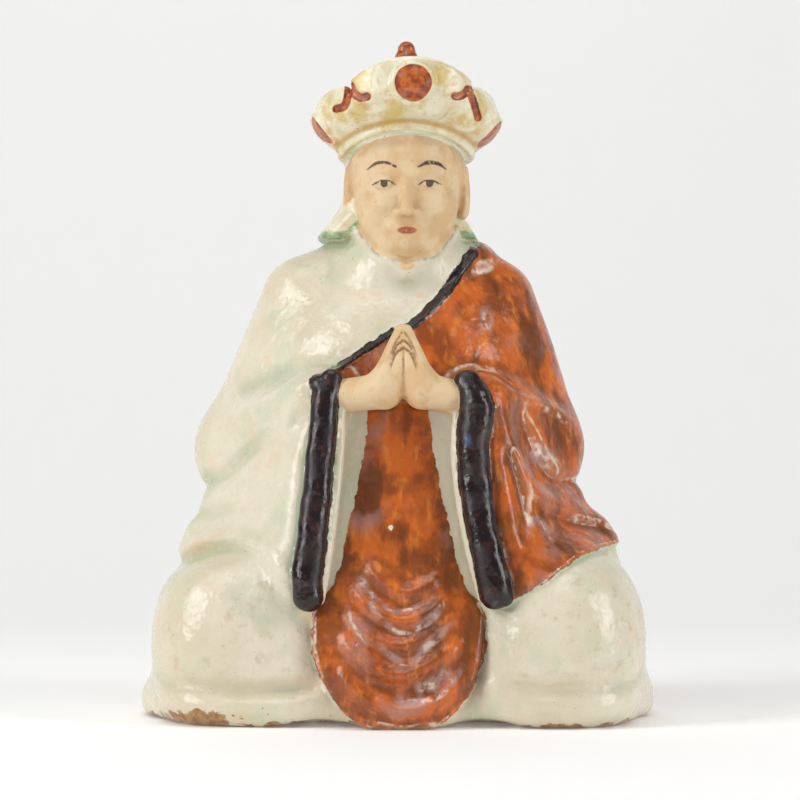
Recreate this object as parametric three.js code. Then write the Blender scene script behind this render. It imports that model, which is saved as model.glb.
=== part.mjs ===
// Seated praying figure of glazed porcelain: one moulded piece with crown, robe, sleeves, apron, hands and knees.
// All sizes are millimetres; the front looks to -Y, up is +Z, the underside lies in z = 0.
import * as THREE from 'three';
import { toCreasedNormals } from 'three/addons/utils/BufferGeometryUtils.js';

// overall settings
const STEP = 1.6;              // spacing of the first fine skin
const TRIANGLES = 9600;        // triangles kept in the finished solid
const FOOT_ROUND = 4;          // rounding where the sides meet the underside
const GLAZE_COLOUR = '#dcd6c2';
const GLAZE_ROUGHNESS = 0.22;
const GLAZE_METALNESS = 0;

// body
const MANTLE_THICK = 1.2;      // the outer cloth stands this far above the robe
const BACK_EDGE_HIGH = 1.0;
const BACK_EDGE_HALF = 1.7;
const BAND_HIGH = 1.1;
const BAND_HALF = 1.5;
const SLEEVE_BLEND_L = 8;
const SLEEVE_BLEND_R = 7;
const SLAB_L = 7;              // half thickness of the hanging sleeves
const SLAB_R = 6.5;

// head and crown
const HEAD_X = 1.5;
const CROWN_X = 1.4;
const CROWN_Y = -5;
const CROWN_FOOT_R = 19;
const CROWN_FLARE = 10.2;
const CROWN_CURL = 4.8;
const CROWN_WALL = 3.6;
const CROWN_TOP = 201.6;
const FRONT_LOBE = THREE.MathUtils.degToRad(42);
const LOBE_TURN = 0.065; // the lobes are set a little round to one side
const SIDE_LOBE = (2 * Math.PI - 2 * FRONT_LOBE) / 4;
const RIM_R = 1.15;
const HAND_X = 0.4;

// bell of the robe: height, left, right, front, back
const BELL = [
  [-4, 80.5, 77, -37, 47],
  [6, 81, 78.5, -38.5, 48.5],
  [16, 76, 75, -38.5, 47.5],
  [30, 71, 69, -38, 45],
  [45, 65, 62, -37.5, 42.5],
  [60, 59, 55, -37, 39],
  [72, 53, 49.5, -36.5, 36],
  [85, 50, 46, -36, 34],
  [100, 47.5, 44, -34, 32],
  [113, 43.5, 41, -30.5, 30],
  [124, 36.5, 36, -26, 27],
  [133, 28.5, 28, -21, 23],
  [141, 20, 20, -16, 19],
  [147, 14, 14, -12, 15],
  [153, 11, 11, -8.5, 11],
  [158, 9, 9, -8, 9],
];

// apron: height, half width, front
const APRON = [
  [-6, 8, -52],
  [0, 10, -53],
  [4, 15, -53.5],
  [9, 19.5, -53.3],
  [15, 22.8, -52.5],
  [23, 25.4, -51.5],
  [32, 26, -49.5],
  [40, 22.6, -47],
  [49, 20, -44.8],
  [63, 16.6, -42],
  [78, 13.9, -40],
  [94, 10.6, -38],
  [108, 8, -36],
];

// short cape under the crown: height, radius
const CAPE = [
  [140, 29],
  [146, 27.2],
  [150, 24.8],
  [154, 21.6],
  [158, 18.9],
  [164, 17.3],
  [172, 17.2],
  [178, 19],
];

// rolled sleeve borders and the linings beside them: x, y, z, radius
const BORDER_L = [
  [-23.6, -44, 104.6, 3.9],
  [-23.2, -45.5, 98, 4.1],
  [-24.5, -47, 80, 4.1],
  [-26.2, -48.8, 62, 4.3],
  [-27.9, -50.8, 48, 4.4],
  [-28, -51.5, 38.8, 4.3],
];
const BORDER_R = [
  [19.6, -44.5, 103, 4.1],
  [22.2, -46.2, 96, 4.9],
  [21.2, -47.2, 82, 4.7],
  [22.8, -49, 66, 4.5],
  [25.4, -51.2, 52, 4.6],
  [28, -52, 39.8, 4.6],
];
const LINING_L = [
  [-19.6, -42.5, 104.6, 1.5],
  [-18.6, -43.5, 97, 1.8],
  [-19, -44.5, 82, 1.9],
  [-20.8, -46, 64, 1.9],
  [-22.9, -48, 48, 1.9],
  [-24.6, -49, 38.5, 1.7],
];
const LINING_R = [
  [16.6, -43, 101, 1.3],
  [16.6, -44, 94, 1.5],
  [16, -45, 82, 1.6],
  [17.8, -46.5, 66, 1.7],
  [20.6, -48.5, 52, 1.7],
  [23.9, -49.5, 39, 1.5],
];

// crown bosses: angle from the front, height, radius
const JEWELS = [
  [0.063, 193.3, 5.6],
  [1.25, 179.8, 4.6],
  [-1.22, 181, 4.6],
  [2.55, 179.5, 4.6],
  [-2.55, 179.5, 4.6],
];

// folds seen from the front: width, height (below zero for a hollow), full at the ends, points of the line
const FOLDS = [
  { wide: 1.15, high: -1.9, ends: true, line: [[-15.6, 193], [-14.6, 190.6], [-12.6, 189.2], [-10.6, 189.4]] },
  { wide: 1.15, high: -1.9, ends: true, line: [[-16.2, 193.4], [-16.4, 190], [-17.5, 187], [-19.9, 186.4]] },
  { wide: 1.15, high: -1.9, ends: true, line: [[20, 192], [18.6, 190.4], [17.2, 189.6], [16, 189.6]] },
  { wide: 1.15, high: -1.9, ends: true, line: [[20.6, 191.6], [21.4, 189.2], [22.4, 186.4], [23.2, 184]] },
  { wide: 3.6, high: -2.6, line: [[-62, 72.4], [-54.2, 73.6], [-48.8, 77.2], [-42.2, 83.5], [-36.1, 89.3]] },
  { wide: 3.2, high: -1.7, line: [[-66, 60.7], [-55, 62.2], [-45.4, 68], [-37.6, 76.7], [-31.8, 87.8], [-28.8, 97.7]] },
  { wide: 2.8, high: 1.0, line: [[-51, 64.8], [-42, 70.8], [-34.8, 79.6], [-30.6, 90.2]] },
  { wide: 2.6, high: 1.1, line: [[-27.1, 104], [-35.2, 100.4], [-43.3, 96.8], [-51.7, 91.4]] },
  { wide: 3.6, high: -1.1, line: [[-29.5, 107.8], [-41, 103.2], [-49.4, 99]] },
  { wide: 2.0, high: 0.9, line: [[-70, 50], [-66.5, 52.4], [-58.1, 55.6], [-48.5, 56.4], [-40.4, 52.4], [-31.2, 41.5]] },
  { wide: 2.3, high: -1.2, line: [[-72, 46], [-64.6, 48.6], [-56.8, 51.6], [-48.4, 52.2], [-41.8, 48], [-33.5, 35.3]] },
  { wide: 2.8, high: -2.9, line: [[56, 72], [48.3, 72.4], [44, 73.9], [39.5, 80.2], [36.2, 87.4], [32.3, 97.1]] },
  { wide: 2.6, high: 1.4, line: [[26.5, 101], [30.7, 94.1], [33.7, 86], [37.6, 74.8], [43, 68.5], [50.5, 64.3], [63.2, 59.8]] },
  { wide: 2.0, high: 1.2, line: [[28.4, 102.4], [35.7, 99.2], [43.3, 96.2], [49.6, 92.9], [52.7, 88.6]] },
  { wide: 2.0, high: -1.5, line: [[31.1, 84.2], [33.2, 76.8], [35, 67.8], [37.4, 52]] },
  { wide: 2.2, high: -1.2, line: [[42.9, 64.7], [50.4, 60.5], [59.4, 58.1], [66, 55.7]] },
  { wide: 2.3, high: 1.7, line: [[-10.6, 49], [-5.6, 44.4], [0.4, 40.5], [6.6, 41.9], [12.4, 46]] },
  { wide: 2.3, high: 2.0, line: [[-15.5, 43.2], [-10.4, 37.5], [-4.4, 33.7], [1, 32.5], [7.6, 34.9], [14.8, 40.8]] },
  { wide: 2.0, high: 1.2, line: [[-17.8, 35.8], [-12.4, 29.8], [-6.2, 26.2], [0.4, 25.1], [8.2, 27.9], [16.6, 34.6]] },
  { wide: 2.4, high: 2.1, line: [[-18.4, 29.1], [-13, 22.1], [-6.5, 17.6], [0, 16.5], [8.2, 19.4], [18.4, 27.6]] },
  { wide: 2.4, high: 2.1, line: [[-18.9, 19.2], [-13, 11.5], [-5.4, 7.3], [1.6, 6], [10.6, 8.4], [19.6, 16.6]] },
  { wide: 2.2, high: 1.0, line: [[-15.3, 5.1], [-8.9, 0.6], [0.8, -1.2], [11.2, 1.2], [16, 5.1]] },
  { wide: 3.4, high: -1.8, line: [[-76, 12.5], [-60.3, 9.8], [-45.2, 8.9], [-30.4, 9.8], [-23, 11]] },
  { wide: 3.4, high: -1.6, line: [[27.6, 12.3], [41, 10.8], [55.8, 11.7], [74, 14.7]] },
  { wide: 3.0, high: -0.9, line: [[-50.7, 20.2], [-41.7, 19.1], [-33.2, 20]] },
  { wide: 4.0, high: -1.2, line: [[30, 34], [26.5, 24], [25, 14]] },
];

// edges of the outer cloth: across the chest, its hem on the sleeve, and its border down the back
const BAND = [
  [-24.5, 104.4], [-21.9, 106.2], [-19.1, 107.7], [-10.6, 113.2], [-3.6, 117.8], [2.4, 120.2],
  [8.5, 125.4], [13.7, 131.4], [17.3, 136.6], [20.7, 141.5], [23.6, 146.4],
];
const HEM = [[29.3, 36.1], [35.3, 39.7], [41.2, 43], [46.9, 47], [51.7, 49.9], [58, 52.4], [64.8, 53.3], [90, 53.3]];
const BACK = [[-10, -64], [0, -63], [40, -58], [70, -48], [90, -36], [110, -20], [128, -3], [140, 11], [150, 24], [160, 34]];

// smooth joins and small shapes, each giving the distance of a point from the shape's surface
const { abs, max, min, sqrt, hypot, sin, cos, exp, atan2, PI } = Math;
const clamp = THREE.MathUtils.clamp;

function join(a, b, k) {
  const h = max(k - abs(a - b), 0);
  return min(a, b) - h * h * 0.25 / k;
}

function cut(a, b, k) {
  return -join(-a, -b, k);
}

function ramp(from, to, v) {
  const t = clamp((v - from) / (to - from), 0, 1);
  return t * t * (3 - 2 * t);
}

function egg(p, c, r) {
  const ax = (p[0] - c[0]) / r[0];
  const ay = (p[1] - c[1]) / r[1];
  const az = (p[2] - c[2]) / r[2];
  const k0 = sqrt(ax * ax + ay * ay + az * az);
  const k1 = hypot(ax / r[0], ay / r[1], az / r[2]);
  return k0 * (k0 - 1) / max(k1, 1e-6);
}

function taper(p, a, b, ra, rb) {
  const bx = b[0] - a[0];
  const by = b[1] - a[1];
  const bz = b[2] - a[2];
  const px = p[0] - a[0];
  const py = p[1] - a[1];
  const pz = p[2] - a[2];
  const h = clamp((px * bx + py * by + pz * bz) / (bx * bx + by * by + bz * bz), 0, 1);
  return hypot(px - h * bx, py - h * by, pz - h * bz) - (ra + (rb - ra) * h);
}

function cushion(p, c, r, n) {
  const u = abs(p[0] - c[0]);
  const v = abs(p[1] - c[1]);
  const w = abs(p[2] - c[2]);
  const q = ((u / r[0]) ** n + (v / r[1]) ** n + (w / r[2]) ** n + 1e-9) ** (1 / n);
  return (q - 1) / max(q, 0.05) * hypot(u, v, w);
}

// thick triangle: the hanging sleeves are made of two each
function plateOf(a, b, c, r) {
  const A = new THREE.Vector3(...a);
  const B = new THREE.Vector3(...b);
  const C = new THREE.Vector3(...c);
  const face = new THREE.Triangle(A, B, C);
  const spot = new THREE.Vector3();
  const near = new THREE.Vector3();
  return (p) => {
    spot.set(p[0], p[1], p[2]);
    face.closestPointToPoint(spot, near);
    return near.distanceTo(spot) - r;
  };
}

// smooth run through the rows of a table
function runOf(rows, column) {
  const zs = rows.map((row) => row[0]);
  const vs = rows.map((row) => row[column]);
  const n = rows.length;
  const slope = [];
  for (let i = 0; i < n - 1; i += 1) slope.push((vs[i + 1] - vs[i]) / (zs[i + 1] - zs[i]));
  const m = [slope[0]];
  for (let i = 1; i < n - 1; i += 1) {
    const both = slope[i - 1] * slope[i];
    m.push(both > 0 ? 2 * both / (slope[i - 1] + slope[i]) : 0);
  }
  m.push(slope[n - 2]);
  return (z) => {
    let i = 0;
    while (i < n - 2 && z > zs[i + 1]) i += 1;
    const h = zs[i + 1] - zs[i];
    const t = clamp((z - zs[i]) / h, 0, 1);
    const t2 = t * t;
    const t3 = t2 * t;
    const start = (2 * t3 - 3 * t2 + 1) * vs[i] + (t3 - 2 * t2 + t) * h * m[i];
    return start + (3 * t2 - 2 * t3) * vs[i + 1] + (t3 - t2) * h * m[i + 1];
  };
}

// straight run between the rows of a table
function levelAt(rows, v, from, to) {
  if (v <= rows[0][from]) return rows[0][to];
  for (let i = 0; i < rows.length - 1; i += 1) {
    if (v <= rows[i + 1][from]) {
      const t = (v - rows[i][from]) / (rows[i + 1][from] - rows[i][from]);
      return rows[i][to] + t * (rows[i + 1][to] - rows[i][to]);
    }
  }
  return rows[rows.length - 1][to];
}

// smooth line through points, as short straight pieces
function smoothLine(points, parts) {
  const last = points.length - 1;
  const ends = [points[0].map((v, i) => 2 * v - points[1][i]), points[last].map((v, i) => 2 * v - points[last - 1][i])];
  const all = [ends[0], ...points, ends[1]];
  const out = [];
  for (let i = 1; i < all.length - 2; i += 1) {
    for (let k = 0; k < parts; k += 1) {
      const t = k / parts;
      out.push(all[i].map((b, j) => {
        const a = all[i - 1][j];
        const c = all[i + 1][j];
        const d = all[i + 2][j];
        const cube = (-a + 3 * b - 3 * c + d) * t ** 3;
        return 0.5 * (2 * b + (-a + c) * t + (2 * a - 5 * b + 4 * c - d) * t * t + cube);
      }));
    }
  }
  out.push(points[last]);
  return out;
}

function ropeOf(rows) {
  const line = smoothLine(rows, 3);
  return (p) => {
    let d = Infinity;
    for (let i = 0; i < line.length - 1; i += 1) d = min(d, taper(p, line[i], line[i + 1], line[i][3], line[i + 1][3]));
    return d;
  };
}

// nearest distance to a line in the front view, and how far along the line that is
function nearLine(x, z, line) {
  let best = Infinity;
  let share = 0;
  const n = line.length - 1;
  for (let i = 0; i < n; i += 1) {
    const ex = line[i + 1][0] - line[i][0];
    const ez = line[i + 1][1] - line[i][1];
    const h = clamp(((x - line[i][0]) * ex + (z - line[i][1]) * ez) / (ex * ex + ez * ez), 0, 1);
    const d = hypot(x - line[i][0] - h * ex, z - line[i][1] - h * ez);
    if (d < best) {
      best = d;
      share = (i + h) / n;
    }
  }
  return [best, share];
}

// robe with shoulders, knees and the low base between them
const bellLeft = runOf(BELL, 1);
const bellRight = runOf(BELL, 2);
const bellFront = runOf(BELL, 3);
const bellBack = runOf(BELL, 4);

function bell(p) {
  const [x, y, z] = p;
  const w = x < 0 ? bellLeft(z) : bellRight(z);
  const d = y < 0 ? -bellFront(z) : bellBack(z);
  const n = 2.1 + 0.3 * ramp(70, 10, z);
  const q = ((abs(x) / w) ** n + (abs(y) / d) ** n + 1e-9) ** (1 / n);
  return cut((q - 1) / max(q, 1e-3) * hypot(x, y) * 0.9, z - 153, 3);
}

function robe(p) {
  let d = bell(p);
  d = join(d, taper(p, [-30, 2, 128.5], [-49.5, 1, 80.5], 13.8, 14), 9);
  d = join(d, taper(p, [27.6, 2, 127.5], [42.3, 1, 83], 13, 12.6), 9);
  d = join(d, taper(p, [-12, 3, 142], [-28.6, 3, 130], 10, 11.8), 4);
  d = join(d, taper(p, [10, 3, 141], [24.6, 3, 129.5], 9.5, 10.6), 4);
  let knee = cushion(p, [-47.3, -17, 21.5], [29, 31, 32.5], 2.5);
  knee = join(knee, taper(p, [-26, 22, 26], [-48, -12, 24], 20, 24), 9);
  knee = join(knee, taper(p, [-50, -20, 19], [-26, -19, 14], 17, 14), 8);
  d = join(d, knee, 6);
  knee = cushion(p, [46, -21, 21.8], [28.2, 34.5, 32.8], 2.5);
  knee = join(knee, taper(p, [24, 22, 26], [46, -13, 24], 20, 24), 9);
  knee = join(knee, taper(p, [50, -24, 19], [26, -21, 14], 17, 14), 8);
  d = join(d, knee, 6);
  d = join(d, cushion(p, [0, -6, 4], [71, 42, 13], 3), 8);
  for (const side of [-1, 1]) {
    d = cut(d, -egg(p, [side * 24 - 0.4, -50, -4], [14, 21, 8.5]), 4);
  }
  return d;
}

const plates = [
  plateOf([-27, -36, 99], [-50, -8, 82], [-56, -12, 58], SLAB_L),
  plateOf([-27, -36, 99], [-56, -12, 58], [-32, -40.5, 44], SLAB_L),
  plateOf([24, -36, 97], [42, -7, 84], [51.5, -14, 57], SLAB_R),
  plateOf([24, -36, 97], [51.5, -14, 57], [34, -42, 45], SLAB_R),
];

function sleeveLeft(p) {
  let d = min(plates[0](p), plates[1](p));
  d = join(d, taper(p, [-49.5, -2, 85], [-25, -36.5, 99], 12.6, 7), 7);
  return join(d, taper(p, [-57, -8, 53], [-34, -38, 47], 10.4, 8), 7);
}

function sleeveRight(p) {
  let d = min(plates[2](p), plates[3](p));
  d = join(d, taper(p, [42, -3, 85], [23, -36, 97], 10.8, 7), 6);
  return join(d, taper(p, [56.6, -11, 53], [37, -41, 45], 8.9, 7), 5);
}

const apronHalf = runOf(APRON, 1);
const apronFront = runOf(APRON, 2);

function addApron(d, p) {
  const [x, y, z] = p;
  const w = apronHalf(z);
  const f = apronFront(z);
  const off = x + 0.4;
  const side = w + 3.2 + 2.4 * ramp(30, 90, z);
  let under = cut(f + 1.6 + (off / side) ** 2 * 1.8 - y, (abs(off) - side) * 0.95, 2.4);
  under = cut(under, y + 12, 1);
  under = cut(under, z - 98, 3);
  under = cut(under, 30 - z, 3);
  let apron = cut(f + (off / w) ** 2 * 1.6 - y, (abs(off) - w) * 0.95, 1.4);
  apron = cut(apron, y + 12, 1);
  apron = cut(apron, z - 97, 3);
  return join(join(d, under, 2), apron, 1);
}

// joined hands, each with a palm and five fingers
const FINGERS = [
  [4.3, -47.6, 104.2, 1.1, -47.4, 111.6, 2.1, 1.15],
  [5.4, -46.2, 105.2, 1.2, -45.6, 115.4, 2.2, 1.2],
  [6, -44.3, 105.4, 1.35, -43.4, 119.4, 2.3, 1.3],
  [5.6, -42.2, 105, 1.3, -41.2, 118.2, 2.2, 1.25],
  [4.2, -39.6, 102, 1.5, -38.4, 112, 2.4, 1.6],
];
const WRISTS = [
  { side: -1, at: [-19.5, -41, 98.4], r: 5.7 },
  { side: 1, at: [20.5, -41, 97.3], r: 5.4 },
];

function hands(p) {
  let d = egg(p, [HAND_X, -36.5, 103], [7.5, 6.5, 9]);
  for (const { side, at, r } of WRISTS) {
    let hand = taper(p, at, [HAND_X + side * 6.4, -44.2, 100.6], r, 5.2);
    hand = join(hand, egg(p, [HAND_X + side * 4.9, -44.6, 104.4], [4.9, 4.4, 6.6]), 2.5);
    for (const [x0, y0, z0, x1, y1, z1, r0, r1] of FINGERS) {
      hand = join(hand, taper(p, [HAND_X + side * x0, y0, z0], [HAND_X + side * x1, y1, z1], r0, r1), 0.5);
    }
    d = min(d, hand);
  }
  return d;
}

// head with a calm, even, general face
function head(p) {
  const q = [p[0] - HEAD_X, p[1], p[2]];
  const m = [abs(q[0]), p[1], p[2]];
  let d = egg(q, [0, -6, 170], [17.7, 20.8, 21]);
  d = join(d, egg(q, [0, -12.5, 154.6], [13.9, 14, 14.4]), 8);
  d = join(d, egg(m, [8.6, -19, 155.6], [5.6, 5.4, 6]), 5);
  d = join(d, egg(q, [0, -23.2, 143.4], [4.6, 3, 3.2]), 4);
  d = cut(d, -egg(m, [6.7, -29.2, 164.4], [4.8, 4, 2.8]), 3);
  d = join(d, egg(m, [6.8, -22.9, 163.6], [4.2, 3.3, 2.6]), 0.6);
  d = join(d, taper(m, [3.4, -25.2, 167], [9.8, -23.3, 167.3], 1.3, 1.1), 2.6);
  d = join(d, taper(q, [0, -25.8, 165.6], [0, -28.8, 156.4], 1.15, 1.6), 2);
  d = join(d, egg(q, [0, -29.1, 155.1], [1.9, 1.9, 1.7]), 1.2);
  d = join(d, egg(m, [2.3, -27.3, 154.7], [1.5, 1.6, 1.3]), 0.8);
  d = join(d, egg(q, [0, -25, 149.4], [5.2, 2.4, 3.6]), 3);
  d = join(d, egg(m, [1.3, -27.2, 150], [2.4, 1.15, 0.8]), 0.6);
  d = join(d, egg(q, [0, -26.9, 148.2], [2.7, 1.3, 0.95]), 0.6);
  d = join(d, taper(p, [0.8, -4, 150], [1, -4, 140], 10, 12), 3);
  let ear = egg(m, [18, -4, 163], [2, 4, 7.6]);
  ear = join(ear, egg(m, [17.5, -5.2, 156.2], [1.7, 2.2, 2.6]), 1.5);
  ear = cut(ear, -egg(m, [20.3, -4.8, 164.4], [1.7, 2.3, 4.8]), 1);
  return join(d, ear, 1.4);
}

const capeRadius = runOf(CAPE, 1);

function cape(p) {
  const [x, y, z] = p;
  const dx = x + 0.6;
  const dy = y - 3;
  const r = capeRadius(z) * (dx > 0 ? 0.93 : 1);
  let d = (hypot(dx, dy * (dy > 0 ? 1.32 : 1.1)) - r) * 0.85;
  d = cut(d, -(y + 9), 2);
  const hem = 147 + 2.6 * ramp(-20, -10, -abs(dx)) - 2.5 * ramp(0, 20, y);
  d = cut(d, hem - z, 1.2);
  return cut(d, z - 180, 2);
}

// crown: a flared wall of five lobes round a low dome, with a rolled rim, bosses and a knob
function crown(p) {
  const [x, y, z] = p;
  const dx = x - CROWN_X;
  const dy = y - CROWN_Y;
  const rr = hypot(dx, dy);
  const angleAt = atan2(dx, -dy);
  const low = 172.4 + 7.4 * max(cos(angleAt), 0) ** 1.5 - 2.5 * max(-cos(angleAt), 0);
  const turn = angleAt - LOBE_TURN;
  const t = abs(turn < -PI ? turn + 2 * PI : turn);
  const front = ramp(FRONT_LOBE + 0.02, FRONT_LOBE - 0.02, t);
  const u = t / FRONT_LOBE;
  const v = abs(2 * ((((t - FRONT_LOBE) / SIDE_LOBE) % 1 + 1) % 1) - 1);
  let notch = 0;
  for (const at of [FRONT_LOBE, FRONT_LOBE + SIDE_LOBE, PI]) notch += exp(-(((t - at) / 0.06) ** 2));
  const frontTop = CROWN_TOP - 6.8 * u ** 2 - 0.8 * u ** 8;
  const sideTop = 188.6 + 5.2 * cos(turn) + 3 * (1 - v ** 4);
  const top = (t < FRONT_LOBE ? frontTop : sideTop) - 2.2 * notch;
  const h = z - low;
  let R = CROWN_FOOT_R + CROWN_FLARE * sin(PI / 2 * clamp(h / 12.5, 0, 1)) - (CROWN_CURL - 2.6 * front) * ramp(11, 26, h);
  R += 0.9 * front * ramp(6, 12, h) - 0.7 * exp(-(((h - 3.4) / 1.0) ** 2));
  const wall = (rr - R + 1.5 * notch * ramp(top - 9, top - 1, z)) * 0.85;
  let d = cut(wall, (z - top) * 0.9, 1.3);
  d = cut(d, low - z, 1);
  const hollow = cut((rr - (R - CROWN_WALL)) * 0.85, 183 - z, 1.5);
  d = cut(d, -hollow, 1.6);
  const dome = cut(egg(p, [CROWN_X, CROWN_Y + 1, 181], [21, 21, 17.5]), 176 - z, 1);
  d = join(d, dome, 1.2);
  d = join(d, hypot(rr - CROWN_FOOT_R - 0.6, z - low - 0.9) - RIM_R, 0.3);
  for (const [angle, height, r] of JEWELS) {
    const nx = sin(angle);
    const ny = -cos(angle);
    const out = dx * nx + dy * ny;
    if (out > 5) {
      const across = hypot(dx * ny - dy * nx, z - height);
      const boss = cut(across - r, wall - 1.5 + (across / r) ** 2 * 0.7, 0.8);
      const ring = hypot(across - r - 0.1, wall - 0.3) - 0.75;
      d = join(d, join(boss, ring, 0.3), 0.4);
    }
  }
  let knob = taper(p, [CROWN_X, CROWN_Y + 1, 197], [CROWN_X, CROWN_Y + 1, 202.6], 6.2, 4);
  knob = join(knob, taper(p, [CROWN_X, CROWN_Y + 1, 204.4], [CROWN_X, CROWN_Y + 1, 206.7], 3.2, 2.7), 0.7);
  return join(d, knob, 0.8);
}

const folds = FOLDS.map(({ wide, high, ends, line }) => {
  const points = smoothLine(line, 4);
  const xs = points.map((q) => q[0]);
  const zs = points.map((q) => q[1]);
  const pad = 2.6 * wide;
  const box = [min(...xs) - pad, max(...xs) + pad, min(...zs) - pad, max(...zs) + pad];
  return { wide, high, ends, points, box };
});

function relief(p) {
  const [x, y, z] = p;
  if (y > 8) return 0;
  let out = 0;
  for (const { wide, high, ends, points, box } of folds) {
    if (x > box[0] && x < box[1] && z > box[2] && z < box[3]) {
      const [dist, share] = nearLine(x, z, points);
      const fade = ends ? 1 : 1 - abs(2 * share - 1) ** 4;
      out += high * exp(-((dist / wide) ** 2)) * fade * ramp(6, -8, y);
    }
  }
  return out;
}

const bandLine = smoothLine(BAND, 3);

function addMantle(d, p) {
  const [x, y, z] = p;
  const edge = (x - levelAt(bandLine, z, 1, 0)) * 0.75;
  const front = min(edge, z - levelAt(HEM, x, 0, 1), 10 - y);
  const backEdge = (x - levelAt(BACK, z, 0, 1)) * 0.8;
  const back = min(backEdge, z - 3.5, y - 2);
  const lay = ramp(152, 146, z);
  let out = d - MANTLE_THICK * ramp(-0.8, 0.8, max(front, back)) * lay;
  out -= BACK_EDGE_HIGH * exp(-((backEdge / BACK_EDGE_HALF) ** 4)) * ramp(2, 6, y) * lay;
  if (abs(x) < 28 && z > 100 && z < 150 && y < 4) out -= BAND_HIGH * exp(-((nearLine(x, z, bandLine)[0] / BAND_HALF) ** 4));
  return out;
}

// a small part counts only inside its own box
function inBox(p, lo, hi) {
  return p[0] > lo[0] && p[0] < hi[0] && p[1] > lo[1] && p[1] < hi[1] && p[2] > lo[2] && p[2] < hi[2];
}

const borderLeft = ropeOf(BORDER_L);
const borderRight = ropeOf(BORDER_R);
const liningLeft = ropeOf(LINING_L);
const liningRight = ropeOf(LINING_R);

function figure(p) {
  let d = robe(p);
  d = join(d, sleeveLeft(p), SLEEVE_BLEND_L);
  d = join(d, sleeveRight(p), SLEEVE_BLEND_R);
  d = addMantle(d, p);
  d = addApron(d, p);
  if (inBox(p, [-32, -56, 30], [-10, -30, 112])) d = join(d, liningLeft(p), 1.2);
  if (inBox(p, [8, -56, 30], [32, -30, 112])) d = join(d, liningRight(p), 1.2);
  d -= relief(p);
  if (inBox(p, [-40, -64, 26], [-12, -30, 116])) d = join(d, borderLeft(p), 0.8);
  d = join(d, egg(p, [-28.2, -40.5, 103.2], [3.2, 3.6, 3.4]), 1.2);
  if (inBox(p, [8, -64, 26], [40, -30, 116])) d = join(d, borderRight(p), 0.8);
  d = cut(d, -p[2], FOOT_ROUND);
  if (inBox(p, [-40, -20, 138], [40, 40, 186])) d = join(d, cape(p), 1.5);
  if (inBox(p, [-28, -40, 130], [30, 24, 196])) d = join(d, head(p), 1);
  if (inBox(p, [-40, -44, 164], [42, 36, 216])) d = join(d, crown(p), 0.8);
  if (inBox(p, [-34, -60, 86], [34, -26, 126])) d = join(d, hands(p), 0.6);
  return d;
}

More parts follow.
